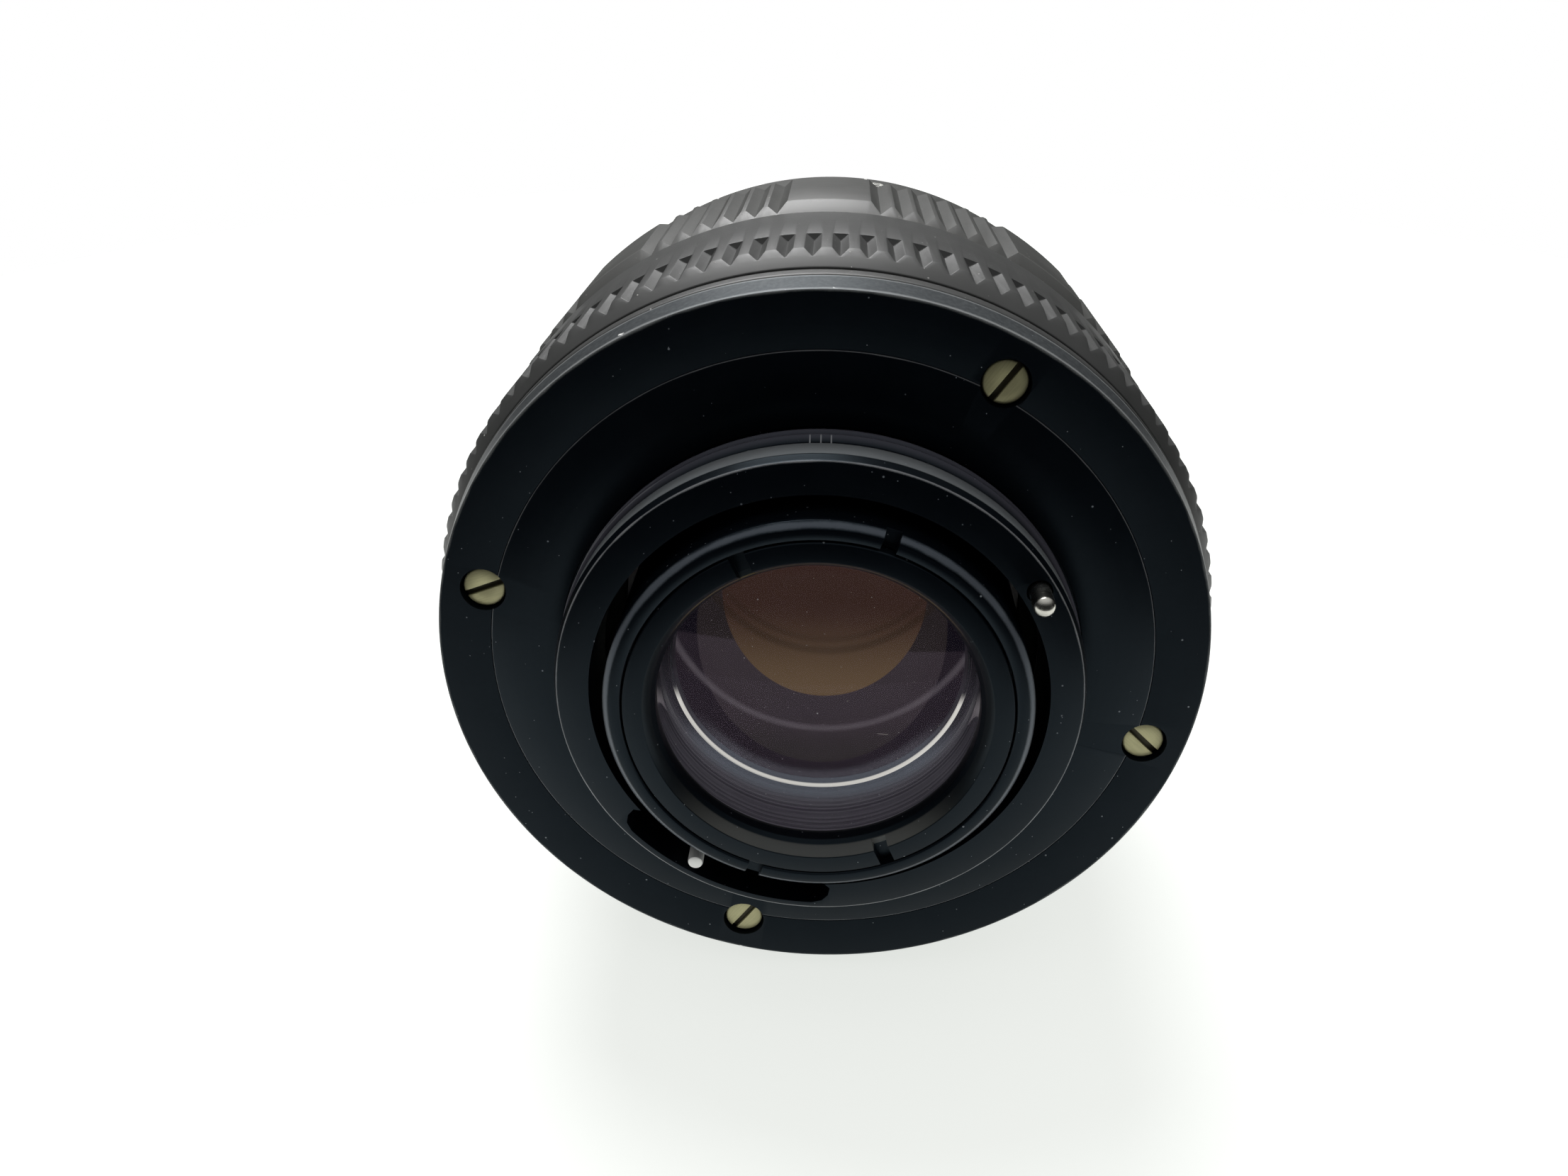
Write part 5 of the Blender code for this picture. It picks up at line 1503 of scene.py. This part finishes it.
@dataclass
class FrontGroup:
    """Front barrel with its filter thread, the ring round the glass and its retaining ring."""

    rear: float = 38.6
    front: float = 48.8
    radius: float = 27.6
    filter: float = 26.0
    seat: float = 44.3
    bore: float = 24.6

    def build(self) -> None:
        """Build the three rings and the distance index."""
        front = self.front
        section = [(self.bore, self.rear), (self.radius, self.rear), (self.radius, front - 0.35),
                   (self.radius - 0.1, front - 0.1), (self.radius - 0.35, front),
                   (self.filter + 0.35, front), (self.filter + 0.05, front - 0.3)]
        turns = 5
        for turn in range(turns):
            y = front - 0.4 - turn * 0.72
            section += [(self.filter, y), (self.filter + 0.3, y - 0.36)]
        section += [(self.filter, self.seat + 0.1), (self.filter, self.seat), (self.bore, self.seat)]
        barrel = Bench.turned("front_barrel_turned", section, 192)
        Bench.round_edges(barrel, 0.04, 50.0, 1)
        finish = Finish("barrel_anodised", (0.03, 0.031, 0.032), (0.042, 0.043, 0.043), roughness=0.42,
                        specular=0.5, turning=0.2, grain=0.25, dust=0.05, bare=(0.4, 0.4, 0.39),
                        edges=(Edge(self.radius - 0.1, front - 0.1, 0.25, 0.5),
                               Edge(self.filter + 0.2, front - 0.1, 0.2, 0.4)))
        Bench.dress(barrel, finish.material(), Body.BLOCK, Slot.ANODISED, "front_barrel")
        marks = Scale("distance_index", self.radius, 2.0)
        marks.line(INDEX_ANGLE, 45.0, 47.6, 0.5)
        marks.dress(Body.BLOCK, (0.6, 0.05, 0.03))
        self.build_rings()

    def build_rings(self) -> None:
        """Sloping ring of fine steps round the front glass, and the slotted ring that holds it."""
        steps, rear, depth = 14, 40.6, 3.4
        inner, outer = 18.0, 24.4
        section = [(inner, rear), (outer, rear), (outer, rear + depth)]
        for step in range(steps):
            share = 1 - step / steps
            radius = inner + (outer - 0.4 - inner) * share
            y = rear + 0.25 + (depth - 0.25) * share
            section += [(radius, y), (radius, y - (depth - 0.25) / steps)]
        section.append((inner, rear + 0.25))
        ring = Bench.turned("front_name_ring_turned", section, 192)
        Bench.round_edges(ring, 0.03, 40.0, 1)
        finish = Finish("front_ring_paint", (0.008, 0.009, 0.011), (0.014, 0.015, 0.017),
                        roughness=0.5, specular=0.4, turning=0.2, grain=0.3, dust=0.04)
        Bench.dress(ring, finish.material(), Body.BLOCK, Slot.PAINT, "front_name_ring")
        section = [(17.6, 35.5), (18.4, 35.5), (18.4, 38.4), (17.75, 38.4), (17.6, 38.2)]
        keeper = Bench.turned("front_retaining_ring_turned", section, 160)
        tools = [Bench.prism("notch", bar(polar(18.0, angle), 1.8, 1.2, angle), 37.6, 39.4)
                 for angle in (40.0, 220.0)]
        Bench.combine(keeper, *tools)
        Bench.dress(keeper, finish.material(), Body.BLOCK, Slot.PAINT, "front_retaining_ring")


@dataclass
class Iris:
    """Six blades, each on its own level, and the cover over them."""

    count: int = 6
    pivot: float = 19.0
    level: float = 0.3
    rear: float = 15.0
    floor: float = 14.75
    thickness: float = 0.15
    opening: float = 10.8
    middle: float = 15.6
    heel: float = 20.2

    def build(self) -> None:
        """Model one blade outline, then a blade on each level with its pivot stud."""
        finish = Finish("blade_blued", (0.045, 0.046, 0.052), (0.07, 0.07, 0.08), roughness=0.38,
                        metallic=0.9, turning=0.3, grain=0.25, dust=0.02)
        surface = finish.material()
        for number in range(self.count):
            turn = 360.0 * number / self.count
            level = self.rear + number * self.level
            corners = arc(self.opening, turn - 8.0, turn + 100.0, 36)
            corners += arc(self.middle, turn + 96.0, turn + 32.0, 24)
            corners += arc(self.heel, turn + 9.0, turn - 8.0, 8)
            blade = Bench.prism(f"iris_blade_{number + 1}_leaf", corners, level, level + self.thickness)
            stud = Bench.rod("stud", 0.55, self.floor, level + self.thickness / 2,
                             polar(self.pivot, turn), 24)
            Bench.combine(blade, stud, union=True)
            Bench.round_edges(blade, 0.02, 50.0, 1)
            Bench.dress(blade, surface, f"blade_{number + 1}", Slot.BLADE, f"iris_blade_{number + 1}")
        section = [(12.0, 18.3), (21.9, 18.3), (21.9, 18.9), (12.3, 18.9), (12.0, 18.6)]
        cover = Bench.turned("iris_cover_turned", section, 128)
        Bench.dress(cover, CHAMBER.material(), Body.BLOCK, Slot.PAINT, "iris_cover")


@dataclass
class Linkage:
    """Stop-down pin and the post of the diaphragm lever."""

    pin_angle: float = 33.2
    pin_ring: float = 19.25
    pin: float = 0.82
    tip: float = -8.0
    post_angle: float = -122.5
    post_ring: float = 18.75
    post: float = 0.65
    post_end: float = -5.4
    wire: float = 0.14
    coils: int = 5
    press: float = 2.6

    def build(self) -> None:
        """Turn the domed pin with its collar, and the post with its rounded end."""
        centre = polar(self.pin_ring, self.pin_angle)
        section = [(self.pin * math.sin(math.pi / 2 * step / 10),
                    self.tip + self.pin * 0.8 * (1 - math.cos(math.pi / 2 * step / 10)))
                   for step in range(11)]
        section += [(self.pin, 2.3), (1.35, 2.3), (1.4, 2.35), (1.4, 3.05), (1.35, 3.1),
                    (0.57, 3.1), (0.57, 6.4), (0.5, 6.5), (0.0, 6.5)]
        pin = Bench.turned("stopdown_pin_turned", section, 48, centre)
        finish = Finish("pin_steel", (0.6, 0.59, 0.54), (0.48, 0.47, 0.43), roughness=0.24,
                        metallic=1.0, turning=0.2, grain=0.2, dust=0.03, centre=centre)
        Bench.dress(pin, finish.material(), Body.PIN, Slot.STEEL, "stopdown_pin")
        centre = polar(self.post_ring, self.post_angle)
        end = self.post_end
        section = [(0.0, end), (self.post - 0.2, end), (self.post - 0.06, end + 0.06),
                   (self.post, end + 0.2), (self.post, 3.1), (0.0, 3.1)]
        post = Bench.turned("lever_post_turned", section, 32, centre)
        finish = Finish("post_steel", (0.9, 0.9, 0.88), (0.8, 0.8, 0.78), roughness=0.4,
                        metallic=0.3, turning=0.1, grain=0.5, dust=0.03, centre=centre)
        Bench.dress(post, finish.material(), Body.LINKAGE, Slot.STEEL, "diaphragm_lever_post")
        self.build_spring()

    def build_spring(self) -> None:
        """Coil the spring behind the pin's collar; in the real lens the spring shortens as the pin is
        pressed in.
        """
        low, high = (Vector(corner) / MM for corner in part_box("pin_spring"))
        middle = (low + high) / 2
        wire, length = self.wire, high.y - low.y
        ring = (high.x - low.x) / 2 - wire
        loop = [Vector((ring + x, low.y + wire + z, 0.0)) for x, z in arc(wire, 0.0, 315.0, 7)]
        spring = Bench.draw("pin_spring_coiled", loop)
        Bench.sweep(spring, (length - 2 * wire) / self.coils, self.coils, 28)
        Bench.take(spring)
        bpy.ops.object.mode_set(mode="EDIT")
        bpy.ops.mesh.select_all(action="SELECT")
        bpy.ops.transform.translate(value=Vector((middle.x, 0.0, middle.z)) * MM)
        bpy.ops.object.mode_set(mode="OBJECT")
        Bench.dress(spring, STEEL.material(), Body.HOUSING, Slot.STEEL, "pin_spring", smooth=60.0)
        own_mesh(spring)


class Inside:
    """Finishes of the CAD nodes that keep their own shape."""

    groups = ((BRASS, ("focus_retainer", "helicoid_ring", "guide_key_1", "guide_key_2",
                       "iris_cam_ring", "mechanism_standoff_1", "mechanism_standoff_2",
                       "mechanism_standoff_3")),
              (ALLOY, ("helicoid_barrel", "lens_barrel")),
              (BLACKENED, ("front_cell", "mechanism_plate", "diaphragm_lever")),
              (STEEL, ("detent_ball", "aperture_drive_pin", "pin_spring")))

    def dress(self) -> None:
        """Give each kept node its finish."""
        for finish, names in self.groups:
            surface = finish.material()
            for name in names:
                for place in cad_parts[name].material_slots:
                    place.material = surface
                LOG.info("%s keeps its shape, in %s", name, surface.name)


# ---- studio ---------------------------------------------------------------------------------------
@dataclass
class Studio:
    """Pale floor, soft lights and the camera."""

    floor: float = -33.35
    eye: tuple[float, float, float] = (1.063, -81.870, 50.748)
    look: tuple[float, float, float] = (-0.04224, 0.88424, -0.46512)
    focal: float = 27.016
    sensor: float = 36.0
    floor_middle: tuple[float, float] = (0.0, 0.195)
    floor_radius: float = 0.27
    floor_depth: float = 0.01
    floor_glow: float = 0.74
    sun_from: tuple[float, float, float] = (-0.16, 0.52, 0.84)
    sun_power: float = 3.4
    sun_width: float = 38.0
    sky_heights: tuple[float, float] = (0.2, 1.0)
    sky_glow: tuple[float, float] = (0.02, 0.7)

    def build_floor(self) -> None:
        """A round pale floor with the faintest mottling, bright enough to melt into the white."""
        Bench.clear()
        x, y = self.floor_middle
        bpy.ops.mesh.primitive_cylinder_add(vertices=96, radius=self.floor_radius,
                                            depth=self.floor_depth,
                                            location=(x, y, self.floor * MM - self.floor_depth / 2))
        floor = bpy.context.object
        floor.name = "floor"
        bpy.ops.object.transform_apply(location=True, rotation=True, scale=True)
        coat = Coat("floor_pale")
        tone = coat.mix(coat.noise(0.01, 3.0), (0.38, 0.38, 0.375), (0.41, 0.41, 0.405))
        coat.set(base_color=tone, roughness=0.8, specular_ior_level=0.1,
                 emission_color=(0.97, 1.0, 0.96), emission_strength=self.floor_glow)
        floor.data.materials.append(coat.material)

    def build_world(self) -> None:
        """Surroundings that are bright above and dark to the sides and behind the viewer."""
        world = bpy.data.worlds.new("surroundings")
        bpy.context.scene.world = world
        world.use_nodes = True
        graph = Graph(world.node_tree)
        place = graph.node("ShaderNodeTexCoord", output="Generated")
        height = graph.node("ShaderNodeSeparateXYZ", None, {0: place}, "Z")
        glow = height.smooth(*self.sky_heights, *self.sky_glow)
        seen = graph.node("ShaderNodeLightPath", output="Is Camera Ray")
        graph.feed(graph.tree.nodes["Background"].inputs["Color"], graph.mix(seen, glow, WHITE))

    def build_sun(self) -> None:
        """One broad soft light from above, a little to the left."""
        data = bpy.data.lights.new("sky_light", "SUN")
        data.energy = self.sun_power
        data.angle = math.radians(self.sun_width)
        made = bpy.data.objects.new("sky_light", data)
        bpy.context.scene.collection.objects.link(made)
        made.rotation_mode = "QUATERNION"
        made.rotation_quaternion = (-Vector(self.sun_from)).to_track_quat("-Z", "Y")

    def build_camera(self) -> None:
        """The camera at the viewing angle of the finished view."""
        data = bpy.data.cameras.new("view")
        data.lens = self.focal
        data.sensor_width = self.sensor
        data.clip_start = 0.001
        made = bpy.data.objects.new("view", data)
        bpy.context.scene.collection.objects.link(made)
        made.location = Vector(self.eye) * MM
        made.rotation_mode = "QUATERNION"
        made.rotation_quaternion = Vector(self.look).to_track_quat("-Z", "Y")
        bpy.context.scene.camera = made

    def build(self) -> None:
        """Set the whole stage."""
        self.build_floor()
        self.build_world()
        self.build_sun()
        self.build_camera()
        bpy.context.scene.view_settings.view_transform = "Standard"


def main() -> None:
    """Build every sub-assembly, dress the kept nodes and set the stage."""
    logging.basicConfig(level=logging.INFO, format="%(name)s: %(message)s")
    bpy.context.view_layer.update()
    mount = Mount()
    mount.build_plate()
    mount.build_screws()
    mount.build_housing()
    ApertureRing().build()
    mount.build_index()
    FocusRing().build()
    RearGroup().build()
    build_glass()
    FrontGroup().build()
    Iris().build()
    Linkage().build()
    Inside().dress()
    Studio().build()


if __name__ == "__main__":
    main()
